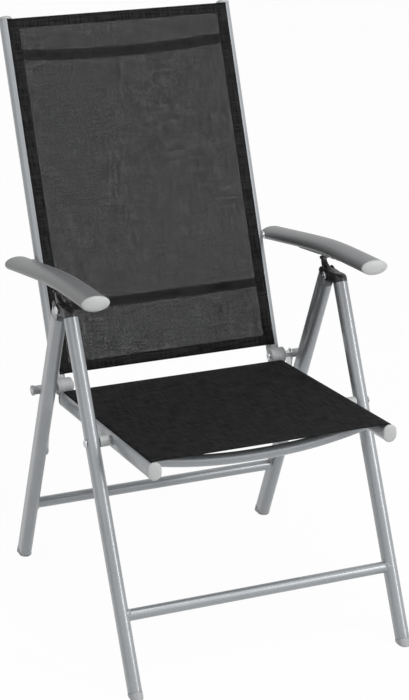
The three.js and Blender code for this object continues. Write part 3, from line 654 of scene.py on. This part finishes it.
# Coats and plastics: colour gains, scales of the patches and the grain, roughness, bump and coat
TUBE_COAT = {"Metallic": 0.35, "Coat Weight": 0.5, "Coat Roughness": 0.12}
ARM_COAT = {"Metallic": 0.12, "Coat Weight": 0.12, "Coat Roughness": 0.3}
SOLID_LOOKS = {
    "silver": ("silver_coat", (0.94, 1.06), 9.0, 1400.0, (0.34, 0.44), 0.08, TUBE_COAT),
    "arm": ("armrest_coat", (0.95, 1.05), 9.0, 1400.0, (0.40, 0.50), 0.08, ARM_COAT),
    "cap": ("cap_plastic", (0.96, 1.03), 25.0, 2200.0, (0.42, 0.55), 0.06, {}),
    "foot": ("foot_plastic", (0.95, 1.03), 25.0, 2200.0, (0.42, 0.55), 0.06, {}),
    "hinge": ("hinge_plastic", (0.94, 1.05), 25.0, 2200.0, (0.42, 0.56), 0.08, {}),
    "dark": ("bracket_plastic", (0.85, 1.25), 25.0, 2200.0, (0.36, 0.52), 0.12, {}),
    "steel": ("zinc_steel", (0.85, 1.1), 260.0, 900.0, (0.24, 0.38), 0.08, {"Metallic": 0.95}),
}

# Cloths: colour gain, and half the width of the open hole as a share of the pitch
CLOTH_LOOKS = {
    "cloth": ("sling_mesh", 1.0, 0.126),
    "seat_cloth": ("seat_mesh", 1.0, 0.10),
    "hem": ("hem_mesh", 1.15, 0),
}
LOOKS = {}


def look(name):
    """One material of each finish, made when it is first asked for."""
    if name not in LOOKS:
        if name in CLOTH_LOOKS:
            LOOKS[name] = mesh_cloth(*CLOTH_LOOKS[name])
        else:
            LOOKS[name] = solid_finish(getattr(finishes(), name), *SOLID_LOOKS[name])
    return LOOKS[name]


# Operators: one for each group of like pieces


class CHAIR_OT_legs(bpy.types.Operator):
    """Makes the oval leg tubes and the flush foot caps"""

    bl_idname = "chair.legs"
    bl_label = "Legs"

    def execute(self, context):
        s = sizes()
        pivot = LEG_PIVOT.z / math.cos(s.rear_lean)
        kinds = (
            ("front", front_leg_frame, s.front_lean, front_leg_length()),
            ("rear", rear_leg_frame, s.rear_lean, pivot - FORK_DEPTH),
        )
        for kind, frame_at, lean, top in kinds:
            width, depth = leg_section(kind)
            reach = depth / 2 * math.tan(lean)
            seam = reach + FOOT_CAP_HEEL
            for tag, side in SIDES:
                place = frame_at(side * s.leg_x)
                bm = bmesh.new()
                if kind == "front":
                    loft(bm, oval_ring(bm, width, depth), along(place, seam + GAP, top))
                else:
                    ring = oval_ring(bm, width, depth, flat_cuts=6)
                    loft(bm, ring, along(place, *spaced(seam + GAP, top + GAP, 48)))
                    press_groove(bm, place, side, top)
                    for sign in (-1, 1):
                        leg_cheek(bm, place, width, depth, sign, top - 0.002, pivot - 0.004)
                make_piece(f"{kind}_leg_tube_{tag}", bm, f"{kind}_frame", "silver", [f"{kind}_leg_{tag}"])
                if kind == "rear":
                    bm = bmesh.new()
                    for sign in (-1, 1):
                        rear_head(bm, place, width, sign, pivot)
                    make_piece(f"rear_leg_head_{tag}", bm, "rear_frame", "dark")
                bm = bmesh.new()
                foot_cap(bm, place, width, depth, reach, seam)
                make_piece(f"{kind}_foot_cap_{tag}", bm, f"{kind}_frame", "foot", [f"{kind}_foot_{tag}"])
        return {"FINISHED"}


def press_groove(bm, place, side, top):
    """Presses a long groove into the inner flat of a rear leg, fading downwards."""
    inverse = place.inverted()
    for vert in bm.verts:
        local = inverse @ vert.co
        if local.x * side < 0 and abs(local.y) < GROOVE_HALF:
            fade = min(1.0, max(0.0, (local.z - (top - GROOVE_LENGTH)) / GROOVE_FADE))
            hollow = math.cos(local.y / GROOVE_HALF * math.pi / 2)
            local.x += side * GROOVE_DEPTH * hollow * fade * fade * (3 - 2 * fade)
            vert.co = place @ local


def leg_cheek(bm, place, width, depth, sign, low, high):
    """One wall of the fork at the top of a rear leg: a slice of the oval tube."""
    bare = bmesh.new()
    loft(bare, oval_ring(bare, width, depth), along(place, low, high))
    inner = place @ Vector((sign * (width / 2 - CHEEK), 0, 0))
    slice_off(bare, inner, (sign, 0, 0), clear_inner=True)
    merge_into(bm, bare)


def rear_head(bm, place, width, sign, pivot):
    """A rounded end plate round the leg pivot, on one wall of the fork."""
    bare = bmesh.new()
    half, foot = REAR_HEAD_HALF, pivot - 0.0037
    outline = [(-half, foot), (half, foot)] + arc((0, pivot), half, 0, 180, 14)
    plate(bare, outline, sign * (width / 2 - CHEEK), sign * width / 2, 0.0007, 2)
    bmesh.ops.transform(bare, matrix=place, verts=bare.verts)
    merge_into(bm, bare)


def foot_cap(bm, place, width, depth, reach, seam):
    """A cap flush with the tube, cut level with the floor and rounded at the sole."""
    ring = oval_ring(bm, width + FOOT_CAP_PROUD, depth + FOOT_CAP_PROUD)
    loft(bm, ring, along(place, -reach - 0.004, 0, seam - 0.0008, (seam, 0.97)))
    soles = slice_off(bm, (0, 0, 0), (0, 0, -1), clear_outer=True)
    soften(bm, [edge for face in soles for edge in face.edges], SOLE_ROUNDING, 5)


class CHAIR_OT_crossbars(bpy.types.Operator):
    """Makes the round crossbars with their weld beads"""

    bl_idname = "chair.crossbars"
    bl_label = "Crossbars"

    def execute(self, context):
        s = sizes()
        radius = s.crossbar / 2
        for kind in ("front", "rear"):
            width, depth = leg_section(kind)
            centre = middle(f"{kind}_crossbar")
            reach = s.leg_x - width / 4
            bm = bmesh.new()
            turned(bm, [(-reach, 0), (-reach, radius), (reach, radius), (reach, 0)], centre)
            make_piece(f"{kind}_crossbar_tube", bm, f"{kind}_frame", "silver", [f"{kind}_crossbar"])
            for tag, side in SIDES:
                bm = bmesh.new()
                weld_bead(bm, centre, side, s.leg_x, width, depth, radius)
                make_piece(f"{kind}_weld_{tag}", bm, f"{kind}_frame", "silver")
        return {"FINISHED"}


def weld_bead(bm, centre, side, leg_x, width, depth, radius):
    """A concave fillet that follows the saddle between a crossbar and a leg."""
    flat = (depth - width) / 2
    face = leg_x - width / 2
    profile = [(face + at, radius + height) for at, height in WELD + WELD[:1]]
    turned(bm, profile, centre, side, 48)
    for vert in bm.verts:
        away = max(0.0, abs(vert.co.y - centre.y) - flat)
        sink = width / 2 - math.sqrt(max(0.0, (width / 2) ** 2 - away ** 2))
        vert.co.x += side * sink


class CHAIR_OT_leg_heads(bpy.types.Operator):
    """Makes the black leg head brackets with lug, tongue and pin"""

    bl_idname = "chair.leg_heads"
    bl_label = "Leg heads"

    def execute(self, context):
        s = sizes()
        top = front_leg_length()
        pivot = (LEG_PIVOT.y, LEG_PIVOT.z)
        pin = (pivot[0] + PIN_FROM_PIVOT[0], pivot[1] + PIN_FROM_PIVOT[1])
        half = s.rear_leg_width / 2 - LUG_CLEAR
        ends = PIN_END + tuple((-at, radius) for at, radius in reversed(PIN_END))
        for tag, side in SIDES:
            x = side * s.leg_x
            place = front_leg_frame(x)
            bm = bmesh.new()
            plug(bm, place, s.front_leg_width, s.front_leg_depth, top, 1, LEG_HEAD)
            level_top(bm, place, top + HEAD_SLANT_FROM)
            low, head = (place @ Vector((0, 0, top + at)) for at in (0.0013, 0.016))
            lug = [(low.y, low.z)] + arc(pivot, LUG_RADIUS, -126, 90, 14) + [(head.y, head.z)]
            plate(bm, lug, x - half, x + half, 0.0012)
            plate(bm, tongue_outline(pivot, pin), x - TONGUE_HALF, x + TONGUE_HALF, 0.0010)
            turned(bm, [(s.leg_x + at, radius) for at, radius in ends], Vector((0, *pin)), side, 24)
            make_piece(f"leg_head_{tag}", bm, "front_frame", "dark", [f"leg_bracket_{tag}"])
        return {"FINISHED"}


def level_top(bm, place, above):
    """Slants the top of a leg head so that it lies level with the floor."""
    inverse = place.inverted()
    for vert in bm.verts:
        local = inverse @ vert.co
        if local.z > above:
            local.z += HEAD_SLANT * local.y
            vert.co = place @ local


def tongue_outline(pivot, pin):
    """The tongue in the side plane: a curved stem from the lug up to the round tip at the pin."""
    (y, z), tip = pivot, TONGUE_TIP
    points = [(y - LUG_RADIUS, z), (y + 0.0084, z - 0.0084)]
    points += curve_points(points[-1], (pin[0] + tip, z + 0.004), (pin[0] + tip, pin[1]), 8)
    points += arc(pin, tip, 0, 180, 10)[1:]
    points += curve_points(points[-1], (pin[0] - 0.006, z + LUG_RADIUS), (y - LUG_RADIUS, z + LUG_RADIUS), 8)
    return points


class CHAIR_OT_fasteners(bpy.types.Operator):
    """Makes the bolts, rivets, spacers and pegs"""

    bl_idname = "chair.fasteners"
    bl_label = "Fasteners"

    def execute(self, context):
        s = sizes()
        legs_in, legs_out = beside(s.leg_x, s.rear_leg_width)
        front_in, front_out = beside(s.leg_x, s.front_leg_width)
        rail_in, rail_out = beside(s.rail_x, s.seat_rail_width)
        back_in, back_out = beside(s.rail_x, s.back_rail_width)
        barrel_in, barrel_out = beside(barrel_middle(), 2 * BARREL_HALF)
        strap_in, strap_out = strap_faces()
        strap_in, strap_out = strap_in - GAP, strap_out + GAP
        rivet_end = strap_out - GAP / 2
        arm_in = s.leg_x - s.arm_width / 2 - GAP
        arm_end = s.leg_x - s.arm_width / 2 + 0.020
        peg = s.leg_x + PEG_OUT
        leg_bolt = socket(legs_in) + [(legs_in, BOLT), (legs_out, BOLT)]
        leg_bolt += dome(legs_out, BOLT_HEAD, BOLT_HEAD_HEIGHT)
        seat_rivet = inner_head(rail_in, RIVET_HEAD, RIVET_HEAD_HEIGHT)
        seat_rivet += [(rail_in, RIVET), (front_out, RIVET)] + dome(front_out, RIVET_HEAD, RIVET_DOME_HEIGHT)
        bush = spacer(rail_out, front_in, 0.0043, 0.0105, 0.0008)
        hinge_bolt = socket(barrel_in) + [(barrel_in, BOLT), (barrel_out, BOLT)]
        hinge_bolt += collar(barrel_out, strap_in) + [(peg - GAP, BOLT), (peg - GAP, 0)]
        sleeve = [(strap_out, BORE), (strap_out, 0.0082), (strap_out + 0.0003, 0.0085), (peg - 0.005, 0.0085)]
        sleeve += [(peg - 0.004, 0.0092), (peg - 0.0036, 0.0100), (peg - 0.0006, 0.0100), (peg, 0.0094)]
        sleeve += [(peg, BORE), (strap_out, BORE)]
        link_rivet = inner_head(strap_in, RIVET_HEAD, RIVET_HEAD_HEIGHT) + [(strap_in, RIVET)]
        link_rivet += [(rivet_end, RIVET), (rivet_end, 0)]
        arm_bolt = socket(back_in) + [(back_in, BOLT), (back_out, BOLT), (back_out, COLLAR), (arm_in, COLLAR)]
        arm_bolt += [(arm_in, BOLT), (arm_end, BOLT), (arm_end, 0)]
        shapes = (
            ("leg_pivot_bolt", "rear_frame", "steel", LEG_PIVOT, leg_bolt),
            ("seat_pivot_rivet", "front_frame", "steel", SEAT_PIVOT, seat_rivet),
            ("seat_spacer", "front_frame", "cap", SEAT_PIVOT, bush),
            ("hinge_bolt", "hinge_pins", "steel", HINGE, hinge_bolt),
            ("stop_sleeve", "hinge_pins", "hinge", HINGE, sleeve),
            ("link_rivet", "links", "steel", middle("link_rivet_R"), link_rivet),
            ("arm_pivot_bolt", "arm_pivots", "steel", ARM_PIVOT, arm_bolt),
        )
        for name, body, finish, centre, profile in shapes:
            for tag, side in SIDES:
                bm = bmesh.new()
                turned(bm, profile, centre, side, 32)
                make_piece(f"{name}_turned_{tag}", bm, body, finish, [f"{name}_{tag}"])
        return {"FINISHED"}


def dome(x, diameter, height):
    """A domed head that stands outwards from x."""
    points = [(x, diameter / 2)]
    for turn in spaced(0, math.pi / 2, 8)[1:]:
        points.append((x + 0.15 * height + 0.85 * height * math.sin(turn), diameter / 2 * math.cos(turn)))
    return points


def inner_head(x, diameter, height):
    """A flat head that stands inwards from x, with a rounded edge."""
    rim = diameter / 2
    points = [(x - height, 0), (x - height, rim - 0.0012), (x - height * 0.75, rim - 0.0003)]
    return points + [(x - height * 0.45, rim), (x, rim)]


def socket(x):
    """A bolt head that stands inwards from x, with a round recess for the key."""
    floor, face = x - BOLT_HEAD_HEIGHT / 3, x - BOLT_HEAD_HEIGHT
    recess = [(floor, 0), (floor, KEY_RECESS), (face, KEY_RECESS_RIM)]
    return recess + inner_head(x, BOLT_HEAD, BOLT_HEAD_HEIGHT)[1:]


def collar(low, high):
    """A collar on a bolt, with broken edges."""
    edge = COLLAR - COLLAR_EDGE
    points = [(low, edge), (low + COLLAR_EDGE, COLLAR), (high - COLLAR_EDGE, COLLAR)]
    return points + [(high, edge), (high, BOLT)]


def spacer(low, high, inner, outer, edge):
    """A bush with broken edges."""
    points = [(low, inner), (low, outer - edge), (low + edge, outer), (high - edge, outer)]
    return points + [(high, outer - edge), (high, inner), (low, inner)]


class CHAIR_OT_seat_frame(bpy.types.Operator):
    """Makes the seat rails, their end caps and the bowed bars under the seat"""

    bl_idname = "chair.seat_frame"
    bl_label = "Seat frame"

    def execute(self, context):
        s = sizes()
        width, depth, proud = s.seat_rail_width, s.seat_rail_depth, 0.0008
        for tag, side in SIDES:
            place = seat_frame(side * s.rail_x)
            bm = bmesh.new()
            ring = oval_ring(bm, width, depth, flat_cuts=4)
            loft(bm, ring, along(place, *spaced(-s.seat_front, s.seat_rear, 94)))
            flatten_round_pivot(bm, place, side, width)
            make_piece(f"seat_rail_tube_{tag}", bm, "seat", "silver", [f"seat_rail_{tag}"])
            bm = bmesh.new()
            plug(bm, place, width + proud, depth + proud, -s.seat_front, -1, SEAT_PLUG)
            make_piece(f"seat_rail_plug_{tag}", bm, "seat", "cap", [f"seat_rail_cap_{tag}"], PLUG_SHARP)
        for name, at, bow in SEAT_BARS:
            bm = bmesh.new()
            bowed_bar(bm, seat_frame(0), at, SEAT_BAR_THICK, SEAT_BAR_OFFSET, bow)
            make_piece(f"{name}_tube", bm, "seat", "silver", [name])
        return {"FINISHED"}


def flatten_round_pivot(bm, place, side, width):
    """Presses the outer wall of a seat rail flat round the pivot spacer."""
    inverse = place.inverted()
    for vert in bm.verts:
        local = inverse @ vert.co
        if local.x * side > 0.004:
            at = abs(local.z) / FLAT_HALF_LENGTH
            fade = 1.0 if at < FLAT_FULL else max(0.0, 1 - (at - FLAT_FULL) / (1 - FLAT_FULL))
            limit = width / 2 - FLAT_DEPTH * math.sqrt(fade)
            if abs(local.x) > limit:
                local.x = side * limit
                vert.co = place @ local


def bowed_bar(bm, place, at, diameter, offset, bow, droop=0.0):
    """A round bar across the chair that bows away from the cloth, and droops a little in its middle."""
    reach = sizes().rail_x - 0.004
    points = []
    for t in spaced(-1, 1, 40):
        share = 1 - abs(t) ** BAR_FULLNESS
        points.append(Vector((t * reach, offset + bow * share, at - droop * share)))
    frames = []
    for before, point, after in zip(points[:1] + points, points, points[1:] + points[-1:]):
        turn = Vector((0, 0, 1)).rotation_difference((after - before).normalized())
        frames.append(place @ Matrix.Translation(point) @ turn.to_matrix().to_4x4())
    verts = bmesh.ops.create_circle(bm, segments=28, radius=diameter / 2)["verts"]
    loft(bm, ring_edges(verts), frames)


class CHAIR_OT_back_frame(bpy.types.Operator):
    """Makes the back rails, their top caps and the bowed bars behind the back"""

    bl_idname = "chair.back_frame"
    bl_label = "Back frame"

    def execute(self, context):
        s = sizes()
        width, depth, proud = s.back_rail_width, s.back_rail_depth, 0.0006
        for tag, side in SIDES:
            place = back_frame(side * s.rail_x)
            bm = bmesh.new()
            loft(bm, oval_ring(bm, width, depth), along(place, s.back_from, s.back_to))
            make_piece(f"back_rail_tube_{tag}", bm, "back", "silver", [f"back_rail_{tag}"])
            bm = bmesh.new()
            plug(bm, place, width + proud, depth + proud, s.back_to, 1, BACK_PLUG)
            make_piece(f"back_rail_plug_{tag}", bm, "back", "cap", [f"back_rail_cap_{tag}"], PLUG_SHARP)
        for name, at, thick, droop in BACK_BARS:
            bm = bmesh.new()
            bowed_bar(bm, back_frame(0), at, thick, BACK_BAR_OFFSET, BACK_BAR_BOW, droop)
            make_piece(f"{name}_tube", bm, "back", "silver", [name])
        return {"FINISHED"}


class CHAIR_OT_hinges(bpy.types.Operator):
    """Makes the two-part hinge barrels and the link straps"""

    bl_idname = "chair.hinges"
    bl_label = "Hinges"

    def execute(self, context):
        s = sizes()
        seat_rail = (s.seat_rail_width, s.seat_rail_depth, s.seat_rear, 1, SEAT_KNUCKLE)
        back_rail = (s.back_rail_width, s.back_rail_depth, s.back_from, -1, BACK_KNUCKLE)
        rivet = middle("link_rivet_R")
        turn = math.degrees(math.atan2(rivet.z - HINGE.z, rivet.y - HINGE.y))
        strap = arc((HINGE.y, HINGE.z), STRAP_HALF, turn + 90, turn + 270, 16)
        strap += arc((rivet.y, rivet.z), STRAP_HALF, turn - 90, turn + 90, 16)
        strap_in, strap_out = strap_faces()
        for tag, side in SIDES:
            x = side * s.rail_x
            halves = (
                ("seat", SEAT_BARREL, seat_frame(x), seat_rail, -1),
                ("back", BACK_BARREL, back_frame(x), back_rail, 1),
            )
            for body, outline, place, rail, other in halves:
                bm = bmesh.new()
                turned(bm, barrel_half(outline), HINGE, side, 48)
                plug(bm, place, *rail)
                trim_to_barrel(bm, side, other)
                make_piece(f"{body}_hinge_{tag}", bm, body, "hinge", [f"{body}_knuckle_{tag}"])
            bm = bmesh.new()
            plate(bm, strap, side * strap_in, side * strap_out, 0.0006, 2)
            make_piece(f"link_plate_{tag}", bm, "links", "steel", [f"link_strap_{tag}"])
        return {"FINISHED"}


def barrel_half(outline):
    """The closed outline of one half of a hinge barrel round its bore."""
    mid, radius = barrel_middle(), sizes().barrel / 2
    points = [(mid + at, radius - below) for at, below in outline]
    first, last = points[0][0], points[-1][0]
    return [(first, BORE)] + points + [(last, BORE), (first, BORE)]


def trim_to_barrel(bm, side, other):
    """Keeps a knuckle's block clear of the other half of the barrel."""
    mid, clear = barrel_middle(), sizes().barrel / 2 + BARREL_CLEAR
    for vert in bm.verts:
        away = Vector((0, vert.co.y - HINGE.y, vert.co.z - HINGE.z))
        across = vert.co.x * side - mid
        if across * other > 0.0002 and 1e-6 < away.length < clear:
            out = away * (clear / away.length)
            vert.co.y, vert.co.z = HINGE.y + out.y, HINGE.z + out.z


class CHAIR_OT_armrests(bpy.types.Operator):
    """Makes the arched armrests with their end caps"""

    bl_idname = "chair.armrests"
    bl_label = "Armrests"

    def execute(self, context):
        s = sizes()
        front, rear = ARM_PIVOT.y - ARM_LENGTH_BEFORE_PIVOT, ARM_PIVOT.y + ARM_LENGTH_BEHIND_PIVOT
        ends = (
            ("front", front, -1, 0.005, "cap", "cap_plastic"),
            ("rear", rear, 1, 0.012, "arm", "silver_cap"),
        )
        for tag, side in SIDES:
            x = side * s.leg_x
            bm = bmesh.new()
            ring = ellipse_ring(bm, s.arm_width, s.arm_height)
            loft(bm, ring, [arm_frame(x, y) for y in spaced(front, rear, 40)])
            make_piece(f"armrest_tube_{tag}", bm, "armrests", "arm", [f"armrest_{tag}"])
            for end, y, way, rise, finish, slot in ends:
                bm = bmesh.new()
                ring = ellipse_ring(bm, s.arm_width + 0.0004, s.arm_height + 0.0004)
                stations = [(way * GAP, 0.975), way * 0.0008, way * ARM_PLUG_STRAIGHT]
                for i in range(1, 9):
                    turn = math.pi / 2 * i / 8.4
                    stations.append((way * (ARM_PLUG_STRAIGHT + rise * math.sin(turn)), math.cos(turn)))
                loft(bm, ring, along(arm_frame(x, y), *stations))
                replaced = [f"armrest_{end}_cap_{tag}"]
                make_piece(f"armrest_{end}_plug_{tag}", bm, "armrests", finish, replaced, PLUG_SHARP)
        return {"FINISHED"}


class CHAIR_OT_slings(bpy.types.Operator):
    """Stretches the mesh slings over the rails, with sewn hems on the back"""

    bl_idname = "chair.slings"
    bl_label = "Slings"

    def execute(self, context):
        s, c = sizes(), cloth_sizes()
        front, tail = CLOTH_EDGE - s.seat_front, SEAT_TAIL
        bm = bmesh.new()
        rail = (s.rail_x, s.seat_rail_width / 2, s.seat_rail_depth / 2)
        sling_grid(bm, seat_frame(0), *rail, c.seat_sag, SEAT_WRAP, front, SEAT_SIDE_END, tail)
        piece = make_piece("seat_cloth", bm, "seat", "seat_cloth", ["seat_sling"], CLOTH_SHARP)
        stretch(piece, c.thickness)
        back = back_frame(0)
        half = s.rail_x + WRAP_RADIUS * math.radians(BACK_WRAP)
        low, high = BACK_CLOTH_FROM, s.back_to - CLOTH_EDGE
        bm = bmesh.new()
        rail = (s.rail_x, s.back_rail_width / 2, s.back_rail_depth / 2)
        sling_grid(bm, back, *rail, c.back_sag, BACK_WRAP, low, high, None)
        piece = make_piece("back_cloth", bm, "back", "cloth", ["back_sling"], CLOTH_SHARP)
        stretch(piece, c.thickness)
        hems = self.hems(back, s, c, half, low, high)
        return {"FINISHED"}

    def hems(self, back, s, c, half, bottom, top):
        """The second layer of cloth behind each edge of the back."""
        made = []
        outer, inner = s.rail_x - HEM_INSET, half - c.side_hem
        strips = (
            ("hem_top", -outer, outer, top - c.top_hem, top - CLOTH_EDGE),
            ("hem_bottom", -outer, outer, bottom + CLOTH_EDGE, bottom + c.bottom_hem),
            ("hem_L", -outer, -inner, bottom + c.bottom_hem, top - c.top_hem),
            ("hem_R", inner, outer, bottom + c.bottom_hem, top - c.top_hem),
        )
        for name, low, high, start, end in strips:
            bm = bmesh.new()
            uv = bm.loops.layers.uv.new("cloth")
            columns = max(2, int((high - low) / 0.008))
            rows = max(2, int((end - start) / 0.02))
            bmesh.ops.create_grid(bm, x_segments=columns, y_segments=rows, size=0.5)
            for vert in bm.verts:
                across = low + (high - low) * (vert.co.x + 0.5)
                station = start + (end - start) * (vert.co.y + 0.5)
                dip = slack(c.back_sag, across / s.rail_x, (station - bottom) / (top - bottom))
                vert.co = Vector((across, dip + HEM_BEHIND - s.back_rail_depth / 2, station))
            for face in bm.faces:
                for loop in face.loops:
                    loop[uv].uv = (loop.vert.co.x, loop.vert.co.z)
            bmesh.ops.transform(bm, matrix=back, verts=bm.verts)
            piece = make_piece(f"back_{name}", bm, "back", "hem", (), CLOTH_SHARP)
            stretch(piece, c.thickness)
            made.append(piece)
        return made


def stretch(piece, thickness):
    """Gives a sheet of cloth its thickness."""
    solid = piece.modifiers.new("cloth", "SOLIDIFY")
    solid.thickness = thickness
    solid.offset = 0


def slack(sag, across, share):
    """Dip of a sling at a share of its half width and of its length; its edges are taut."""
    return sag * (1 - across ** 2) * (1 - (2 * share - 1) ** 4)


def sling_grid(bm, place, rail_x, radius, depth, sag, wrap, start, end, tail):
    """Cloth across two rails: a slack middle, and edges that wrap the rails by an angle in degrees."""
    uv = bm.loops.layers.uv.new("cloth")
    outer = radius + CLOTH_LIFT
    half = rail_x + outer * math.radians(wrap)
    last = tail or end
    bmesh.ops.create_grid(bm, x_segments=64, y_segments=48, size=0.5)
    flats = {}
    for vert in bm.verts:
        flats[vert] = (vert.co.x * 2 * half, start + (last - start) * (vert.co.y + 0.5))
    for face in bm.faces:
        for loop in face.loops:
            loop[uv].uv = flats[loop.vert]
    if tail:
        beyond_side = {v for v, (x, y) in flats.items() if y > end - 0.001 and abs(x) > SEAT_TAIL_HALF}
        gone = [face for face in bm.faces if beyond_side.issuperset(face.verts)]
        bmesh.ops.delete(bm, geom=gone, context="FACES")
    for vert in bm.verts:
        across, station = flats[vert]
        beyond = abs(across) - rail_x
        if beyond <= 0:
            x = across
            out = slack(sag, across / rail_x, (station - start) / (last - start)) - depth - CLOTH_LIFT
        else:
            turn = beyond / outer
            x = math.copysign(rail_x + outer * math.sin(turn), across)
            out = -(depth - radius) - outer * math.cos(turn)
        vert.co = place @ Vector((x, out, station))


class CHAIR_OT_carried(bpy.types.Operator):
    """Gives the carried-over solids their finish"""

    bl_idname = "chair.carried"
    bl_label = "Carried-over solids"

    def execute(self, context):
        for tag, _ in SIDES:
            materials = frame["nodes"][f"notch_rail_{tag}"].data.materials
            materials.clear()
            materials.append(look("cap"))
        return {"FINISHED"}


class CHAIR_OT_stage(bpy.types.Operator):
    """Makes the floor, lamps, world and camera"""

    bl_idname = "chair.stage"
    bl_label = "Stage"

    def execute(self, context):
        scene = context.scene
        stage = scene.chair_stage
        bm = bmesh.new()
        bmesh.ops.create_grid(bm, x_segments=1, y_segments=1, size=FLOOR_HALF)
        mesh = bpy.data.meshes.new("floor")
        bm.to_mesh(mesh)
        bm.free()
        floor = bpy.data.objects.new("floor", mesh)
        scene.collection.objects.link(floor)
        mesh.materials.append(self.floor_paint())
        for name, place, size, tall in LAMPS:
            self.lamp(name, getattr(stage, name), place, size, tall)
        self.world(scene, stage.world)
        self.camera(scene, stage)
        scene.view_settings.view_transform = "Standard"
        return {"FINISHED"}

    def floor_paint(self):
        """Pale floor that is white to the eye."""
        material, tree, shader = blank_material("floor_paint")
        shader.inputs["Base Color"].default_value = rgba(finishes().floor)
        shader.inputs["Roughness"].default_value = 0.8
        shader.inputs["Specular IOR Level"].default_value = 0.1
        glow = node(tree, "ShaderNodeEmission", inputs={"Strength": 1.0, "Color": WHITE})
        share = maths(tree, "MULTIPLY", self.seen(tree), FLOOR_WHITE)
        self.blend(tree, share, shader, glow, tree.nodes["Material Output"])
        return material

    def seen(self, tree):
        """1 for camera, glossy and transmission rays."""
        ray = node(tree, "ShaderNodeLightPath").outputs
        direct = maths(tree, "MAXIMUM", ray["Is Camera Ray"], ray["Is Glossy Ray"])
        return maths(tree, "MAXIMUM", direct, ray["Is Transmission Ray"])

    def blend(self, tree, share, first, second, output):
        """Mixes two shaders by a share and puts them out."""
        mix = node(tree, "ShaderNodeMixShader")
        parts = (share, first.outputs[0], second.outputs[0])
        wire(tree, *zip(parts, mix.inputs), (mix.outputs[0], output.inputs["Surface"]))

    def lamp(self, name, power, place, size, tall):
        data = bpy.data.lights.new(name, "AREA")
        data.energy = power
        data.shape = "RECTANGLE" if tall else "DISK"
        data.size = size
        if tall:
            data.size_y = tall
        lamp = bpy.data.objects.new(name, data)
        lamp.location = place
        lamp.rotation_euler = (LAMP_AIM - Vector(place)).to_track_quat("-Z", "Y").to_euler()
        bpy.context.scene.collection.objects.link(lamp)

    def world(self, scene, strength):
        world = bpy.data.worlds.new("studio")
        world.use_nodes = True
        tree = world.node_tree
        soft = tree.nodes["Background"]
        soft.inputs["Color"].default_value = WHITE
        soft.inputs["Strength"].default_value = strength
        white = node(tree, "ShaderNodeBackground", inputs={"Strength": 1.0, "Color": WHITE})
        self.blend(tree, self.seen(tree), soft, white, tree.nodes["World Output"])
        scene.world = world

    def camera(self, scene, stage):
        data = bpy.data.cameras.new("camera")
        data.sensor_width = 36
        data.lens = stage.lens
        data.shift_y = stage.shift
        data.clip_end = 100
        camera = bpy.data.objects.new("camera", data)
        yaw, pitch, roll = stage.yaw, stage.pitch, stage.roll
        ahead = Vector((-math.sin(yaw) * math.cos(pitch), math.cos(yaw) * math.cos(pitch), math.sin(pitch)))
        right = Vector((math.cos(yaw), math.sin(yaw), 0))
        up = right.cross(ahead)
        level = math.cos(roll) * right + math.sin(roll) * up
        upright = -math.sin(roll) * right + math.cos(roll) * up
        turn = Matrix((level, upright, -ahead)).transposed().to_4x4()
        camera.matrix_world = Matrix.Translation(CAMERA_PLACE) @ turn
        scene.collection.objects.link(camera)
        scene.camera = camera


class CHAIR_PT_panel(bpy.types.Panel):
    """Lists the chair's pieces in the sidebar"""

    bl_label = "Folding garden chair"
    bl_idname = "CHAIR_PT_panel"
    bl_space_type = "VIEW_3D"
    bl_region_type = "UI"
    bl_category = "Chair"

    def draw(self, context):
        for operator in OPERATORS:
            self.layout.operator(operator.bl_idname)
        for name, _ in GROUPS:
            box = self.layout.box()
            settings = getattr(context.scene, name)
            for setting in settings.__annotations__:
                box.prop(settings, setting)


GROUPS = (
    ("chair_sizes", ChairFrameSizes),
    ("chair_cloth", ChairClothSizes),
    ("chair_finishes", ChairFinishes),
    ("chair_stage", ChairStage),
)
OPERATORS = (
    CHAIR_OT_stage,
    CHAIR_OT_legs,
    CHAIR_OT_crossbars,
    CHAIR_OT_leg_heads,
    CHAIR_OT_seat_frame,
    CHAIR_OT_back_frame,
    CHAIR_OT_hinges,
    CHAIR_OT_fasteners,
    CHAIR_OT_armrests,
    CHAIR_OT_slings,
    CHAIR_OT_carried,
)


def register():
    for name, group in GROUPS:
        bpy.utils.register_class(group)
        setattr(bpy.types.Scene, name, PointerProperty(type=group))
    for operator in OPERATORS:
        bpy.utils.register_class(operator)
    bpy.utils.register_class(CHAIR_PT_panel)


def unregister():
    bpy.utils.unregister_class(CHAIR_PT_panel)
    for operator in reversed(OPERATORS):
        bpy.utils.unregister_class(operator)
    for name, group in reversed(GROUPS):
        delattr(bpy.types.Scene, name)
        bpy.utils.unregister_class(group)


def main():
    register()
    bpy.ops.chair.stage()
    bpy.ops.chair.legs()
    bpy.ops.chair.crossbars()
    bpy.ops.chair.leg_heads()
    bpy.ops.chair.seat_frame()
    bpy.ops.chair.back_frame()
    bpy.ops.chair.hinges()
    bpy.ops.chair.fasteners()
    bpy.ops.chair.armrests()
    bpy.ops.chair.slings()
    bpy.ops.chair.carried()


if __name__ == "__main__":
    main()
